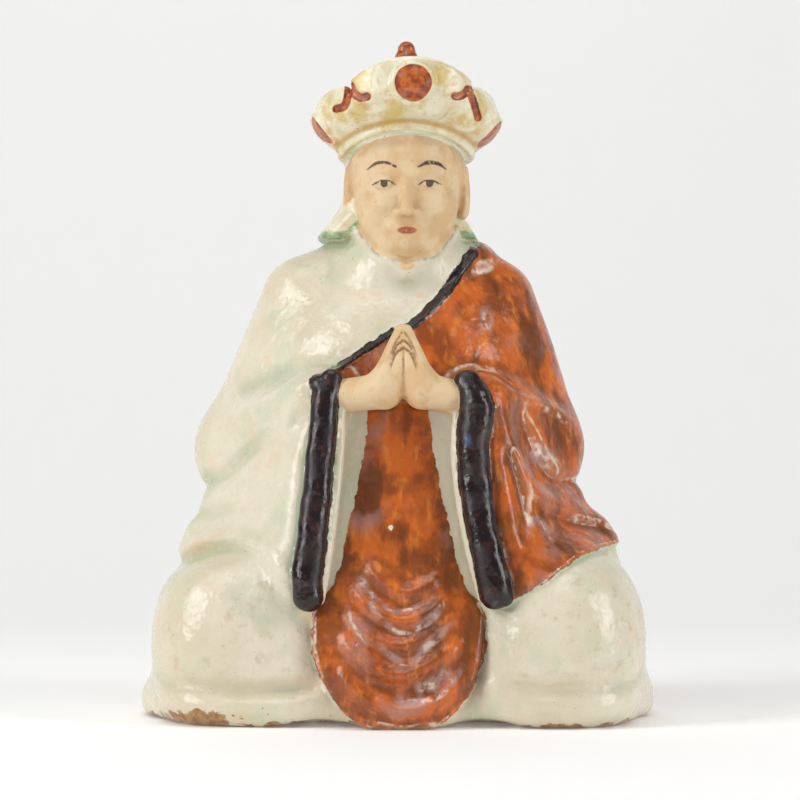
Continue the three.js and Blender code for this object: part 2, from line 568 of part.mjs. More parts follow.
// fine skin: the box is filled with small tetrahedra and each gives the piece of surface that crosses it
function skin(field, lo, hi, step) {
  const BLOCK = 8;
  const n = [0, 1, 2].map((i) => Math.ceil((hi[i] - lo[i]) / step / BLOCK) * BLOCK);
  const size = n.map((v) => v + 1);
  const values = new Float32Array(size[0] * size[1] * size[2]).fill(NaN);
  const index = (i, j, k) => (i * size[1] + j) * size[2] + k;
  const place = (i, j, k) => [lo[0] + i * step, lo[1] + j * step, lo[2] + k * step];
  const at = (i, j, k) => {
    const id = index(i, j, k);
    if (Number.isNaN(values[id])) {
      const v = field(place(i, j, k));
      values[id] = abs(v) < 1e-4 ? 1e-4 : v;
    }
    return values[id];
  };
  const corner = [[0, 0, 0], [1, 0, 0], [1, 1, 0], [0, 1, 0], [0, 0, 1], [1, 0, 1], [1, 1, 1], [0, 1, 1]];
  const tets = [[0, 5, 1, 6], [0, 1, 2, 6], [0, 2, 3, 6], [0, 3, 7, 6], [0, 7, 4, 6], [0, 4, 5, 6]];
  const points = [];
  const faces = [];
  const made = new Map();
  const total = values.length;
  const point = (a, b, fa, fb, ga, gb) => {
    const key = a < b ? a * total + b : b * total + a;
    let id = made.get(key);
    if (id === undefined) {
      const t = fa / (fa - fb);
      id = points.length;
      points.push([0, 1, 2].map((i) => ga[i] + t * (gb[i] - ga[i])));
      made.set(key, id);
    }
    return id;
  };
  const reach = step * BLOCK * 1.3;
  for (let bi = 0; bi < n[0]; bi += BLOCK) {
    for (let bj = 0; bj < n[1]; bj += BLOCK) {
      for (let bk = 0; bk < n[2]; bk += BLOCK) {
        if (abs(at(bi + BLOCK / 2, bj + BLOCK / 2, bk + BLOCK / 2)) > reach) continue;
        for (let i = bi; i < bi + BLOCK; i += 1) {
          for (let j = bj; j < bj + BLOCK; j += 1) {
            for (let k = bk; k < bk + BLOCK; k += 1) {
              const f = corner.map(([a, b, c]) => at(i + a, j + b, k + c));
              const inside = f.filter((v) => v < 0).length;
              if (inside === 0 || inside === 8) continue;
              const g = corner.map(([a, b, c]) => place(i + a, j + b, k + c));
              const ids = corner.map(([a, b, c]) => index(i + a, j + b, k + c));
              for (const tet of tets) {
                const inn = tet.filter((c) => f[c] < 0);
                const out = tet.filter((c) => f[c] >= 0);
                if (inn.length === 0 || out.length === 0) continue;
                const pt = (a, b) => point(ids[a], ids[b], f[a], f[b], g[a], g[b]);
                let ring;
                if (inn.length === 1) ring = out.map((b) => pt(inn[0], b));
                else if (out.length === 1) ring = inn.map((a) => pt(a, out[0]));
                else ring = [pt(inn[0], out[0]), pt(inn[0], out[1]), pt(inn[1], out[1]), pt(inn[1], out[0])];
                const [A, B, C] = ring.map((v) => points[v]);
                const u = [B[0] - A[0], B[1] - A[1], B[2] - A[2]];
                const v = [C[0] - A[0], C[1] - A[1], C[2] - A[2]];
                const o = g[out[0]];
                const s = g[inn[0]];
                const facing = (u[1] * v[2] - u[2] * v[1]) * (o[0] - s[0])
                  + (u[2] * v[0] - u[0] * v[2]) * (o[1] - s[1])
                  + (u[0] * v[1] - u[1] * v[0]) * (o[2] - s[2]);
                if (facing < 0) ring.reverse();
                faces.push([ring[0], ring[1], ring[2]]);
                if (ring.length === 4) faces.push([ring[0], ring[2], ring[3]]);
              }
            }
          }
        }
      }
    }
  }
  return { points, faces };
}

// the fine skin is thinned: the edge whose loss moves the surface least is closed up first
function thin(points, faces, target, weightAt) {
  const P = points.map((q) => q.slice());
  const F = faces.map((f) => f.slice());
  const alive = new Uint8Array(F.length).fill(1);
  const around = P.map(() => new Set());
  F.forEach((f, i) => f.forEach((v) => around[v].add(i)));
  const cross = (a, b, c) => {
    const u = [b[0] - a[0], b[1] - a[1], b[2] - a[2]];
    const v = [c[0] - a[0], c[1] - a[1], c[2] - a[2]];
    return [u[1] * v[2] - u[2] * v[1], u[2] * v[0] - u[0] * v[2], u[0] * v[1] - u[1] * v[0]];
  };
  // each point keeps the sum of the planes it has stood for: ten numbers
  const Q = new Float64Array(P.length * 10);
  const addPlane = (v, a, b, c, d, w) => {
    const o = v * 10;
    const n = [a * a, a * b, a * c, a * d, b * b, b * c, b * d, c * c, c * d, d * d];
    for (let i = 0; i < 10; i += 1) Q[o + i] += w * n[i];
  };
  for (const f of F) {
    const n = cross(P[f[0]], P[f[1]], P[f[2]]);
    const area = hypot(...n);
    if (area < 1e-9) continue;
    const [a, b, c] = n.map((v) => v / area);
    const d = -(a * P[f[0]][0] + b * P[f[0]][1] + c * P[f[0]][2]);
    for (const v of f) addPlane(v, a, b, c, d, area * weightAt(P[v]));
  }
  const cost = (q, s) => {
    const [x, y, z] = s;
    return q[0] * x * x + 2 * q[1] * x * y + 2 * q[2] * x * z + 2 * q[3] * x + q[4] * y * y
      + 2 * q[5] * y * z + 2 * q[6] * y + q[7] * z * z + 2 * q[8] * z + q[9];
  };
  const q = new Float64Array(10);
  const best = (u, v) => {
    for (let i = 0; i < 10; i += 1) q[i] = Q[u * 10 + i] + Q[v * 10 + i];
    const [a, b, c, , e, f, , h] = q;
    const det = a * (e * h - f * f) - b * (b * h - f * c) + c * (b * f - e * c);
    const mid = [0, 1, 2].map((i) => (P[u][i] + P[v][i]) / 2);
    const span = hypot(P[u][0] - P[v][0], P[u][1] - P[v][1], P[u][2] - P[v][2]);
    const options = [mid, P[u], P[v]];
    if (abs(det) > 1e-6 * max(1e-9, a * e * h)) {
      const r = [-q[3], -q[6], -q[8]];
      const x = (r[0] * (e * h - f * f) - b * (r[1] * h - f * r[2]) + c * (r[1] * f - e * r[2])) / det;
      const y = (a * (r[1] * h - r[2] * f) - r[0] * (b * h - f * c) + c * (b * r[2] - r[1] * c)) / det;
      const z = (a * (e * r[2] - f * r[1]) - b * (b * r[2] - r[1] * c) + r[0] * (b * f - e * c)) / det;
      if (hypot(x - mid[0], y - mid[1], z - mid[2]) < span * 0.8) options.unshift([x, y, z]);
    }
    let spot = options[0];
    let least = cost(q, spot);
    for (const option of options.slice(1)) {
      const value = cost(q, option);
      if (value < least - 1e-12) {
        least = value;
        spot = option;
      }
    }
    return [max(least, 0) + 1e-7 * span * span, spot];
  };
  // heap of edges, cheapest first; an entry is stale once either end has moved on
  const stamp = new Int32Array(P.length);
  const heap = [];
  const push = (u, v) => {
    const [value, spot] = best(u, v);
    heap.push({ value, u, v, spot, su: stamp[u], sv: stamp[v] });
    let i = heap.length - 1;
    while (i > 0) {
      const up = (i - 1) >> 1;
      if (heap[up].value <= heap[i].value) break;
      [heap[up], heap[i]] = [heap[i], heap[up]];
      i = up;
    }
  };
  const pop = () => {
    const top = heap[0];
    const last = heap.pop();
    if (heap.length) {
      heap[0] = last;
      let i = 0;
      for (;;) {
        const l = 2 * i + 1;
        const r = l + 1;
        let m = i;
        if (l < heap.length && heap[l].value < heap[m].value) m = l;
        if (r < heap.length && heap[r].value < heap[m].value) m = r;
        if (m === i) break;
        [heap[m], heap[i]] = [heap[i], heap[m]];
        i = m;
      }
    }
    return top;
  };
  const neighbours = (v) => {
    const out = new Set();
    for (const i of around[v]) for (const w of F[i]) if (w !== v) out.add(w);
    return out;
  };
  for (const f of F) for (let i = 0; i < 3; i += 1) if (f[i] < f[(i + 1) % 3]) push(f[i], f[(i + 1) % 3]);
  // a face may not turn over or become a worse sliver
  let turn = 0.4;
  const sliver = 0.04;
  const slimness = (points3, doubleArea) => {
    let longest = 0;
    for (let k = 0; k < 3; k += 1) {
      const s = points3[k];
      const e = points3[(k + 1) % 3];
      longest = max(longest, (s[0] - e[0]) ** 2 + (s[1] - e[1]) ** 2 + (s[2] - e[2]) ** 2);
    }
    return doubleArea / max(longest, 1e-12);
  };
  const keepsShape = (v, other, spot) => {
    for (const i of around[v]) {
      const f = F[i];
      if (f.includes(other)) continue;
      const old = f.map((w) => P[w]);
      const moved = f.map((w) => (w === v ? spot : P[w]));
      const before = cross(...old);
      const after = cross(...moved);
      const la = hypot(...before);
      const lb = hypot(...after);
      if (before[0] * after[0] + before[1] * after[1] + before[2] * after[2] < turn * la * lb) return false;
      const slim = slimness(moved, lb);
      if (slim < sliver && slim < 0.5 * slimness(old, la)) return false;
    }
    return true;
  };
  let count = F.length;
  // an edge that can't close now is set aside and tried again a little later
  let aside = [];
  let retryAt = count * 0.97;
  while (count > target && (heap.length || aside.length)) {
    if (count < retryAt || !heap.length) {
      if (!heap.length) turn *= 0.8;
      retryAt = count * 0.97;
      const again = aside;
      aside = [];
      for (const [a, b] of again) if (around[a].size && around[b].size) push(a, b);
      if (turn < 0.1 || !heap.length) break;
    }
    const { u, v, spot, su, sv } = pop();
    if (stamp[u] !== su || stamp[v] !== sv || !around[u].size || !around[v].size) continue;
    const nu = neighbours(u);
    const nv = neighbours(v);
    if (!nu.has(v)) continue;
    let shared = 0;
    for (const w of nu) if (nv.has(w)) shared += 1;
    if (shared !== 2 || !keepsShape(u, v, spot) || !keepsShape(v, u, spot)) {
      aside.push([u, v]);
      continue;
    }
    for (const i of [...around[v]]) {
      if (around[u].has(i)) {
        alive[i] = 0;
        count -= 1;
        for (const w of F[i]) around[w].delete(i);
      } else {
        F[i][F[i].indexOf(v)] = u;
        around[u].add(i);
      }
    }
    around[v].clear();
    P[u] = spot.slice();
    for (let i = 0; i < 10; i += 1) Q[u * 10 + i] += Q[v * 10 + i];
    stamp[u] += 1;
    stamp[v] += 1;
    for (const w of neighbours(u)) push(u, w);
  }
  const order = new Map();
  const outPoints = [];
  const outFaces = [];
  F.forEach((f, i) => {
    if (!alive[i]) return;
    outFaces.push(f.map((v) => {
      if (!order.has(v)) {
        order.set(v, outPoints.length);
        outPoints.push(P[v]);
      }
      return order.get(v);
    }));
  });
  return { points: outPoints, faces: outFaces };
}

// face, hands and crown keep more of the triangles than the broad cloth
function careAt(p) {
  if (inBox(p, [-16, -34, 142], [20, -14, 180])) return 5;
  if (inBox(p, [-24, -56, 90], [26, -34, 126])) return 4;
  if (p[2] > 168) return 2.5;
  return 1;
}

const fine = skin(figure, [-90, -64, -4], [90, 62, 216], STEP);
const spare = thin(fine.points, fine.faces, TRIANGLES, careAt);

// the origin goes to the middle of the underside
const box = new THREE.Box3().setFromPoints(spare.points.map((q) => new THREE.Vector3(...q)));
const middle = box.getCenter(new THREE.Vector3());
const seated = spare.points.map(([x, y, z]) => [x - middle.x, y - middle.y, z - box.min.z < 0.06 ? 0 : z - box.min.z]);
const spots = new Float32Array(seated.flat());
const geometry = new THREE.BufferGeometry();
geometry.setAttribute('position', new THREE.BufferAttribute(spots, 3));
geometry.setIndex(spare.faces.flat());

const material = new THREE.MeshStandardMaterial({
  color: GLAZE_COLOUR,
  roughness: GLAZE_ROUGHNESS,
  metalness: GLAZE_METALNESS,
});
const mesh = new THREE.Mesh(toCreasedNormals(geometry, PI / 5), material);
mesh.name = 'figure';

const group = new THREE.Group();
group.add(mesh);
export default group;
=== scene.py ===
import math

import bmesh
import bpy
import numpy as np
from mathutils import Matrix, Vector


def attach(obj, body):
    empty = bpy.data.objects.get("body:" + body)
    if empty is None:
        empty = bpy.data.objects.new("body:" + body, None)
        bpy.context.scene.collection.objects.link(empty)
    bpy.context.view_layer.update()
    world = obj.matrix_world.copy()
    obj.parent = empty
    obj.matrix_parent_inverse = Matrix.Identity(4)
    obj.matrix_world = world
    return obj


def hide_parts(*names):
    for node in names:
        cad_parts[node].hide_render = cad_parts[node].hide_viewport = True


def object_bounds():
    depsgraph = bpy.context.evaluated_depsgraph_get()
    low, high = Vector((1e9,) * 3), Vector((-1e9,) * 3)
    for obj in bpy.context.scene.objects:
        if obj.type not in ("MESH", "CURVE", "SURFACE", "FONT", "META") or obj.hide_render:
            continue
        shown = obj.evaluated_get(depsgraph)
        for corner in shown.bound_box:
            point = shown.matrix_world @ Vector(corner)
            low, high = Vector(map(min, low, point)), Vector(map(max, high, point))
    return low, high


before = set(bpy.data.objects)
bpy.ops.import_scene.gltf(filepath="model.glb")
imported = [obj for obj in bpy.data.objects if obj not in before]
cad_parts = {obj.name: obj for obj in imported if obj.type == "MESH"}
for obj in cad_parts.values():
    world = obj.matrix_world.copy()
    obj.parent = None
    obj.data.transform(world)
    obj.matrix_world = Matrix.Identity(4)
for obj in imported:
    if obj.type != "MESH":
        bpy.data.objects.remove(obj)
cad_low, cad_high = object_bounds()

# Figure, its form.
# A hollow porcelain moulding, pressed in moulds and luted together before firing. It sits in a wide robe,
# with an outer cloth over one shoulder, long sleeves with rolled borders and an apron between the knees.
# The form is worked out in millimetres, as the distance of a point from the surface, below zero inside.

MM_PER_M = 1000.0
FIELD_BOX = ((-90, -64, -4), (90, 62, 216))
SKIN_STEP = 0.8            # spacing of the first skin
SKIN_FACES = 192000        # triangles kept
MANTLE_THICK = 1.2         # the outer cloth stands this far above the robe
SLAB_L = 7.0               # half thickness of the hanging sleeves
SLAB_R = 6.5
HEAD_X = 1.5
HEAD_BOX = ((-28, -40, 130), (30, 24, 196))
EYELID = (
    (3.6, -26.3, 163.9, 0.28), (5.2, -26.5, 162.8, 0.3), (7.4, -26.2, 162.7, 0.3), (10, -25, 163.6, 0.28))
HAND_X = 0.4
HANDS_BOX = ((-34, -60, 86), (34, -26, 126))
CROWN_X, CROWN_Y = 1.4, -5.0
CROWN_TOP = 201.6
FRONT_LOBE = math.radians(39.5)
LOBE_TURN = 0.065          # the lobes are set a little round to one side
SIDE_LOBE = (2 * math.pi - 2 * FRONT_LOBE) / 4

BELL = (  # height, left, right, front, back
    (-4, 80.5, 77, -37, 47),
    (6, 81, 78.5, -38.5, 48.5),
    (16, 76, 75, -38.5, 47.5),
    (30, 71, 69, -38, 45),
    (45, 65, 62, -37.5, 42.5),
    (60, 59, 55, -37, 39),
    (72, 53, 49.5, -36.5, 36),
    (85, 50, 46, -36, 34),
    (100, 47.5, 44, -34, 32),
    (113, 43.5, 41, -30.5, 30),
    (124, 36.5, 36, -26, 27),
    (133, 28.5, 28, -21, 23),
    (141, 20, 20, -16, 19),
    (147, 14, 14, -12, 15),
    (153, 11, 11, -8.5, 11),
    (158, 9, 9, -8, 9))

APRON = (  # height, half width, front
    (-6, 8, -52),
    (0, 10, -53),
    (4, 15, -53.5),
    (9, 19.5, -53.3),
    (15, 22.8, -52.5),
    (23, 25.4, -51.5),
    (32, 25.6, -49.5),
    (37, 23.6, -48),
    (42, 20.2, -46.5),
    (49, 17.6, -44.8),
    (60, 15, -42.4),
    (74, 12, -40.4),
    (86, 10, -38.8),
    (94, 9.3, -38),
    (108, 8, -36))
APRON_X = -0.9

# cape: height, radius
CAPE = ((140, 29), (146, 27.2), (150, 24.8), (154, 21.6), (158, 18.9), (164, 17.3), (172, 17.2), (178, 19))
CAPE_X = -0.6

# collar of the robe, closing under the chin: x, y, z, radius
COLLAR_L = (
    (-16.4, 2, 152, 2), (-13.4, -8, 150, 2), (-9, -16, 146, 2),
    (-3.8, -21.4, 140.9, 2), (1, -23.4, 136.8, 1.8))
COLLAR_R = (
    (18.6, 2, 152, 2), (16, -8, 150, 2), (11.8, -16, 146, 2),
    (6.2, -21.4, 140.9, 2), (1.6, -23.4, 136.8, 1.8))

# full places under the collar: middle, radii
CHEST = ((0.8, -7, 138.2), (19.6, 15.8, 12.3))
THROAT = ((1.2, -19.4, 137.6), (6, 4, 4.5))
NECK_SIDE = ((19, -2, 142.4), (7, 10, 3.8))

# rolled sleeve borders and the linings beside them: x, y, z, radius
BORDER_L = (
    (-21.3, -43.6, 104.5, 3), (-22.4, -45, 99.6, 3.7), (-23.3, -46, 93, 4), (-24.5, -47, 80, 4),
    (-26.2, -48.8, 62, 4.3), (-27.9, -50.8, 48, 4.4), (-28, -51.5, 38.8, 4.3))
BORDER_R = (
    (19.6, -44.5, 103, 4.1), (22.2, -46.2, 96, 4.9), (21.2, -47.2, 82, 4.7),
    (22.8, -49, 66, 4.5), (25.4, -51.2, 52, 4.6), (28, -52, 39.8, 4.6))
BORDER_FLAT = 1.3          # half the distance between the two edges of a border
CUFF = ((-25, -42.8, 102), (2.8, 3.4, 3.2))    # closes the left border against the wrist: middle, radii
LINING_L = (
    (-19.6, -42.5, 104.6, 1.5), (-18.6, -43.5, 97, 1.8), (-19, -44.5, 82, 1.9),
    (-20.8, -46, 64, 1.9), (-22.9, -48, 48, 1.9), (-24.6, -49, 38.5, 1.7))
LINING_R = (
    (16.6, -43, 101, 1.3), (16.6, -44, 94, 1.5), (16, -45, 82, 1.6),
    (17.8, -46.5, 66, 1.7), (20.6, -48.5, 52, 1.7), (23.9, -49.5, 39, 1.5))

# crown bosses: angle from the front, height, radius, how far they stand out
JEWELS = (
    (0.063, 193.3, 5.8, 1.5), (1.4, 179.8, 4.3, 0.5), (-1.36, 181, 4.3, 0.5),
    (2.55, 179.5, 4.6, 1.2), (-2.55, 179.5, 4.6, 1.2))

# scrolls carved beside the crown's two front notches
SCROLLS = (
    ((-15.6, 193), (-14.6, 190.6), (-12.6, 189.2), (-10.6, 189.4)),
    ((-16.2, 193.4), (-16.4, 190), (-17.5, 187), (-19.9, 186.4)),
    ((20, 192), (18.6, 190.4), (17.2, 189.6), (16, 189.6)),
    ((20.6, 191.6), (21.4, 189.2), (22.4, 186.4), (23.2, 184)))
SCROLL_HALF = 1.1          # half width
SCROLL_DEEP = 1.0

# folds seen from the front: half width, height (below zero for a hollow), points of the line
FOLDS = (
    (3.6, -2.6, ((-62, 72.4), (-54.2, 73.6), (-48.8, 77.2), (-42.2, 83.5), (-36.1, 89.3))),
    (3.2, -2.3, ((-66, 60.7), (-55, 62.2), (-45.4, 68), (-37.6, 76.7), (-31.8, 87.8), (-28.8, 97.7))),
    (2.8, 1.5, ((-51, 64.8), (-42, 70.8), (-34.8, 79.6), (-30.6, 90.2))),
    (2.6, 1.1, ((-27.1, 104), (-35.2, 100.4), (-43.3, 96.8), (-51.7, 91.4))),
    (4.2, -1.1, ((-29.5, 107.2), (-41, 102.4), (-49.4, 98))),
    (2.6, 1.3, ((-70, 50), (-66.5, 52.4), (-58.1, 55.6), (-48.5, 56.4), (-40.4, 52.4), (-31.2, 41.5))),
    (2.8, -1.5, ((-72, 46), (-64.6, 48.6), (-56.8, 51.6), (-48.4, 52.2), (-41.8, 48), (-33.5, 35.3))),
    (2.8, -2.9, ((56, 72), (48.3, 72.4), (44, 73.9), (39.5, 80.2), (36.2, 87.4), (32.3, 97.1))),
    (2.6, 1.4, (
        (26.5, 101), (30.7, 94.1), (33.7, 86), (37.6, 74.8), (43, 68.5), (50.5, 64.3), (63.2, 59.8))),
    (2.0, 1.2, ((28.4, 102.4), (35.7, 99.2), (43.3, 96.2), (49.6, 92.9), (52.7, 88.6))),
    (2.0, -1.5, ((31.1, 84.2), (33.2, 76.8), (35, 67.8), (37.4, 52))),
    (2.2, -1.2, ((42.9, 64.7), (50.4, 60.5), (59.4, 58.1), (66, 55.7))),
    (2.3, 2.3, ((-10.6, 49), (-5.6, 44.4), (0.4, 40.5), (6.6, 41.9), (12.4, 46))),
    (2.2, 2.9, ((-15.5, 43.2), (-10.4, 37.5), (-4.4, 33.7), (1, 32.5), (7.6, 34.9), (14.8, 40.8))),
    (1.9, 2.0, ((-17.8, 35.8), (-12.4, 29.8), (-6.2, 26.2), (0.4, 25.1), (8.2, 27.9), (16.6, 34.6))),
    (2.3, 3.0, ((-18.4, 29.1), (-13, 22.1), (-6.5, 17.6), (0, 16.5), (8.2, 19.4), (18.4, 27.6))),
    (2.3, 2.9, ((-18.9, 19.2), (-13, 11.5), (-5.4, 7.3), (1.6, 6), (10.6, 8.4), (19.6, 16.6))),
    (2.2, 1.6, ((-15.3, 5.1), (-8.9, 0.6), (0.8, -1.2), (11.2, 1.2), (16, 5.1))),
    (2.7, -3.2, ((-76, 14.5), (-60.3, 12), (-45.2, 11), (-30.4, 11.6), (-23, 13))),
    (2.6, 1.0, ((-74, 7), (-60.3, 5.5), (-45.2, 5), (-32, 6))),
    (2.7, -3.0, ((27.6, 13.6), (41, 12), (55.8, 12.6), (74, 15.4))),
    (2.6, 1.0, ((34, 6), (46, 5), (58, 5.5), (72, 8))),
    (3.0, -0.9, ((-50.7, 20.2), (-41.7, 19.1), (-33.2, 20))),
    (4.0, -1.2, ((30, 34), (26.5, 24), (25, 14))))

# edges of the outer cloth: across the chest, its hem on the sleeve, and its border down the back
BAND = (
    (-24.5, 104.4), (-21.9, 106.2), (-19.1, 107.7), (-10.6, 113.2), (-3.6, 117.8), (2.4, 120.2),
    (8.5, 125.4), (13.7, 131.4), (17.3, 136.6), (20.7, 141.5), (23.6, 146.4))
HEM = (
    (29.3, 36.1), (35.3, 39.7), (41.2, 43), (46.9, 47), (51.7, 49.9), (58, 52.4), (64.8, 53.3), (90, 53.3))
HEM_BEHIND = 3.5           # the hem falls to this height down the side
BACK = (
    (-10, -64), (0, -63), (40, -58), (70, -48), (90, -36),
    (110, -20), (128, -3), (140, 11), (150, 24), (160, 34))

# knees: middle and radii, two ends of the thigh behind, two ends of the shin in front
KNEES = (
    ((-47.3, -17, 21.5), (29, 31, 32.5), (-26, 22, 26), (-48, -12, 24), (-50, -20, 19), (-26, -19, 14)),
    ((46, -21, 21.8), (28.2, 34.5, 32.8), (24, 22, 26), (46, -13, 24), (50, -24, 19), (26, -21, 14)))


def band_half(z):
    """Half the width of the band across the chest, which widens towards the shoulder."""
    return 0.95 + 0.65 * ramp(110, 140, z)


def join(a, b, k):
    """Two forms as one, with a fillet over a width of k."""
    h = np.maximum(k - np.abs(a - b), 0)
    return np.minimum(a, b) - h * h * (0.25 / k)


def cut(a, b, k):
    """What is inside both forms, with a rounded edge."""
    return -join(-a, -b, k)


def ramp(start, end, v):
    """0 at the start, 1 at the end, smooth between them."""
    t = np.clip((v - start) / (end - start), 0, 1)
    return t * t * (3 - 2 * t)


def egg(p, c, r):
    """An ellipsoid with its middle and its three radii."""
    ax, ay, az = ((p[i] - c[i]) / r[i] for i in range(3))
    k0 = np.sqrt(ax * ax + ay * ay + az * az)
    k1 = np.sqrt((ax / r[0]) ** 2 + (ay / r[1]) ** 2 + (az / r[2]) ** 2)
    return k0 * (k0 - 1) / np.maximum(k1, 1e-6)


def taper(p, a, b, ra, rb):
    """A round bar between two points, with a radius at each."""
    ba = [b[i] - a[i] for i in range(3)]
    pa = [p[i] - a[i] for i in range(3)]
    h = np.clip(sum(u * v for u, v in zip(pa, ba)) / sum(v * v for v in ba), 0, 1)
    return np.sqrt(sum((u - h * v) ** 2 for u, v in zip(pa, ba))) - (ra + (rb - ra) * h)


def cushion(p, c, r, n):
    """An egg made squarer by a power above two."""
    u, v, w = (np.abs(p[i] - c[i]) for i in range(3))
    q = ((u / r[0]) ** n + (v / r[1]) ** n + (w / r[2]) ** n + 1e-9) ** (1 / n)
    return (q - 1) / np.maximum(q, 0.05) * np.sqrt(u * u + v * v + w * w)


def plate(p, a, b, c, r):
    """A thick triangle: the hanging sleeves are made of two each."""
    a, b, c = (np.array(v, np.float32) for v in (a, b, c))
    sides = ((b - a, a), (c - b, b), (a - c, c))
    normal = np.cross(b - a, a - c)
    inside = 0
    edge = None
    for side, start in sides:
        q = [p[i] - start[i] for i in range(3)]
        across = np.cross(side, normal)
        inside = inside + np.sign(sum(u * v for u, v in zip(across, q)))
        h = np.clip(sum(u * v for u, v in zip(side, q)) / float(side @ side), 0, 1)
        d = sum((u * h - v) ** 2 for u, v in zip(side, q))
        edge = d if edge is None else np.minimum(edge, d)
    face = sum(normal[i] * (p[i] - a[i]) for i in range(3)) ** 2 / float(normal @ normal)
    return np.sqrt(np.where(inside < 2, edge, face)) - r


def run(z, rows, column):
    """Smooth run through a column of a table, by height."""
    zs = np.array([row[0] for row in rows], float)
    vs = np.array([row[column] for row in rows], float)
    h = np.diff(zs)
    slope = np.diff(vs) / h
    m = np.zeros(len(zs))
    m[0], m[-1] = slope[0], slope[-1]
    for i in range(1, len(zs) - 1):
        if slope[i - 1] * slope[i] > 0:
            m[i] = 2 * slope[i - 1] * slope[i] / (slope[i - 1] + slope[i])
    i = np.clip(np.searchsorted(zs, z) - 1, 0, len(zs) - 2)
    t = np.clip((z - zs[i]) / h[i], 0, 1)
    t2, t3 = t * t, t * t * t
    start = (2 * t3 - 3 * t2 + 1) * vs[i] + (t3 - 2 * t2 + t) * h[i] * m[i]
    return (start + (3 * t2 - 2 * t3) * vs[i + 1] + (t3 - t2) * h[i] * m[i + 1]).astype(np.float32)


def level(v, rows):
    """Straight run through a table of two columns."""
    return np.interp(v, [row[0] for row in rows], [row[1] for row in rows])


def smooth_line(points, parts):
    """A curve through points, with so many parts between two of them."""
    points = [np.array(q, float) for q in points]
    every = [2 * points[0] - points[1], *points, 2 * points[-1] - points[-2]]
    out = []
    for a, b, c, d in zip(every, every[1:], every[2:], every[3:]):
        for k in range(parts):
            t = k / parts
            cube = (-a + 3 * b - 3 * c + d) * t ** 3
            out.append(0.5 * (2 * b + (-a + c) * t + (2 * a - 5 * b + 4 * c - d) * t * t + cube))
    out.append(points[-1])
    return np.array(out)


def near_line(x, z, line):
    """Nearest distance to a line in the front view, and how far along the line that is."""
    best = np.full(x.shape, 1e3, np.float32)
    share = np.zeros(x.shape, np.float32)
    for i, (a, b) in enumerate(zip(line, line[1:])):
        ex, ez = b - a
        h = np.clip(((x - a[0]) * ex + (z - a[1]) * ez) / (ex * ex + ez * ez), 0, 1)
        d = np.hypot(x - a[0] - h * ex, z - a[1] - h * ez)
        closer = d < best
        best = np.where(closer, d, best)
        share = np.where(closer, (i + h) / (len(line) - 1), share)
    return best, share


def rope(p, rows):
    """A round bar along a curve: x, y, z and radius of its points."""
    line = smooth_line(rows, 3)
    d = None
    for a, b in zip(line, line[1:]):
        piece = taper(p, a, b, a[3], b[3])
        d = piece if d is None else np.minimum(d, piece)
    return d


def strip(p, rows, half):
    """A rope pressed flat: two thinner ropes side by side."""
    left, right = ([(r[0] + side * half, r[1], r[2], r[3] - half) for r in rows] for side in (-1, 1))
    lumps = 0.16 * np.sin(0.31 * p[2] + 0.5 * p[0]) + 0.07 * np.sin(0.83 * p[2] + 0.7 * p[0] + 1)
    return join(rope(p, left), rope(p, right), 3 * half) + lumps


def in_box(part, p, low, high):
    """Value of a small part, worked out only inside its own box."""
    x, y, z = p
    inside = (x > low[0]) & (x < high[0]) & (y > low[1]) & (y < high[1]) & (z > low[2]) & (z < high[2])
    out = np.full(x.shape, 30.0, np.float32)
    if inside.any():
        out[inside] = part(tuple(v[inside] for v in p))
    return out


def bell(p):
    """The body of the robe, wide at the foot and closing at the neck."""
    x, y, z = p
    w = np.where(x < 0, run(z, BELL, 1), run(z, BELL, 2))
    d = np.where(y < 0, -run(z, BELL, 3), run(z, BELL, 4))
    n = 2.1 + 0.3 * ramp(70, 10, z)
    q = ((np.abs(x) / w) ** n + (np.abs(y) / d) ** n + 1e-9) ** (1 / n)
    return cut((q - 1) / np.maximum(q, 1e-3) * np.hypot(x, y) * 0.9, z - 153, 3)


def robe(p):
    """Bell with upper arms, shoulders, knees, the seat between them and the hollows beside the apron."""
    d = bell(p)
    d = join(d, taper(p, (-30, 2, 128.5), (-49.5, 1, 80.5), 13.8, 14), 9)
    d = join(d, taper(p, (27.6, 2, 127.5), (42.3, 1, 83), 13, 12.6), 9)
    d = join(d, taper(p, (-12, 3, 142), (-28.6, 3, 130), 10, 11.8), 4)
    d = join(d, taper(p, (10, 3, 141), (24.6, 3, 129.5), 9.5, 10.6), 4)
    d = join(d, egg(p, *NECK_SIDE), 7)
    for at, radii, hip, bend, shin, foot in KNEES:
        knee = cushion(p, at, radii, 2.5)
        knee = join(knee, taper(p, hip, bend, 20, 24), 9)
        knee = join(knee, taper(p, shin, foot, 17, 14), 8)
        d = join(d, knee, 6)
    d = join(d, cushion(p, (0, -6, 4), (71, 42, 13), 3), 8)
    for side in (-1, 1):
        d = join(d, egg(p, (side * 28 - 0.4, -37, 17), (8, 8, 15)), 8)
        d = cut(d, -egg(p, (side * 24 - 0.4, -50, -4), (13, 19, 6.6)), 4)
    return d


def sleeve_left(p):
    a, b, c, e = (-27, -36, 99), (-50, -8, 82), (-56, -12, 58), (-32, -40.5, 44)
    d = np.minimum(plate(p, a, b, c, SLAB_L), plate(p, a, c, e, SLAB_L))
    d = join(d, taper(p, (-49.5, -2, 85), (-25, -36.5, 99), 12.6, 7), 7)
    return join(d, taper(p, (-57, -8, 53), (-34, -38, 47), 10.4, 8), 7)


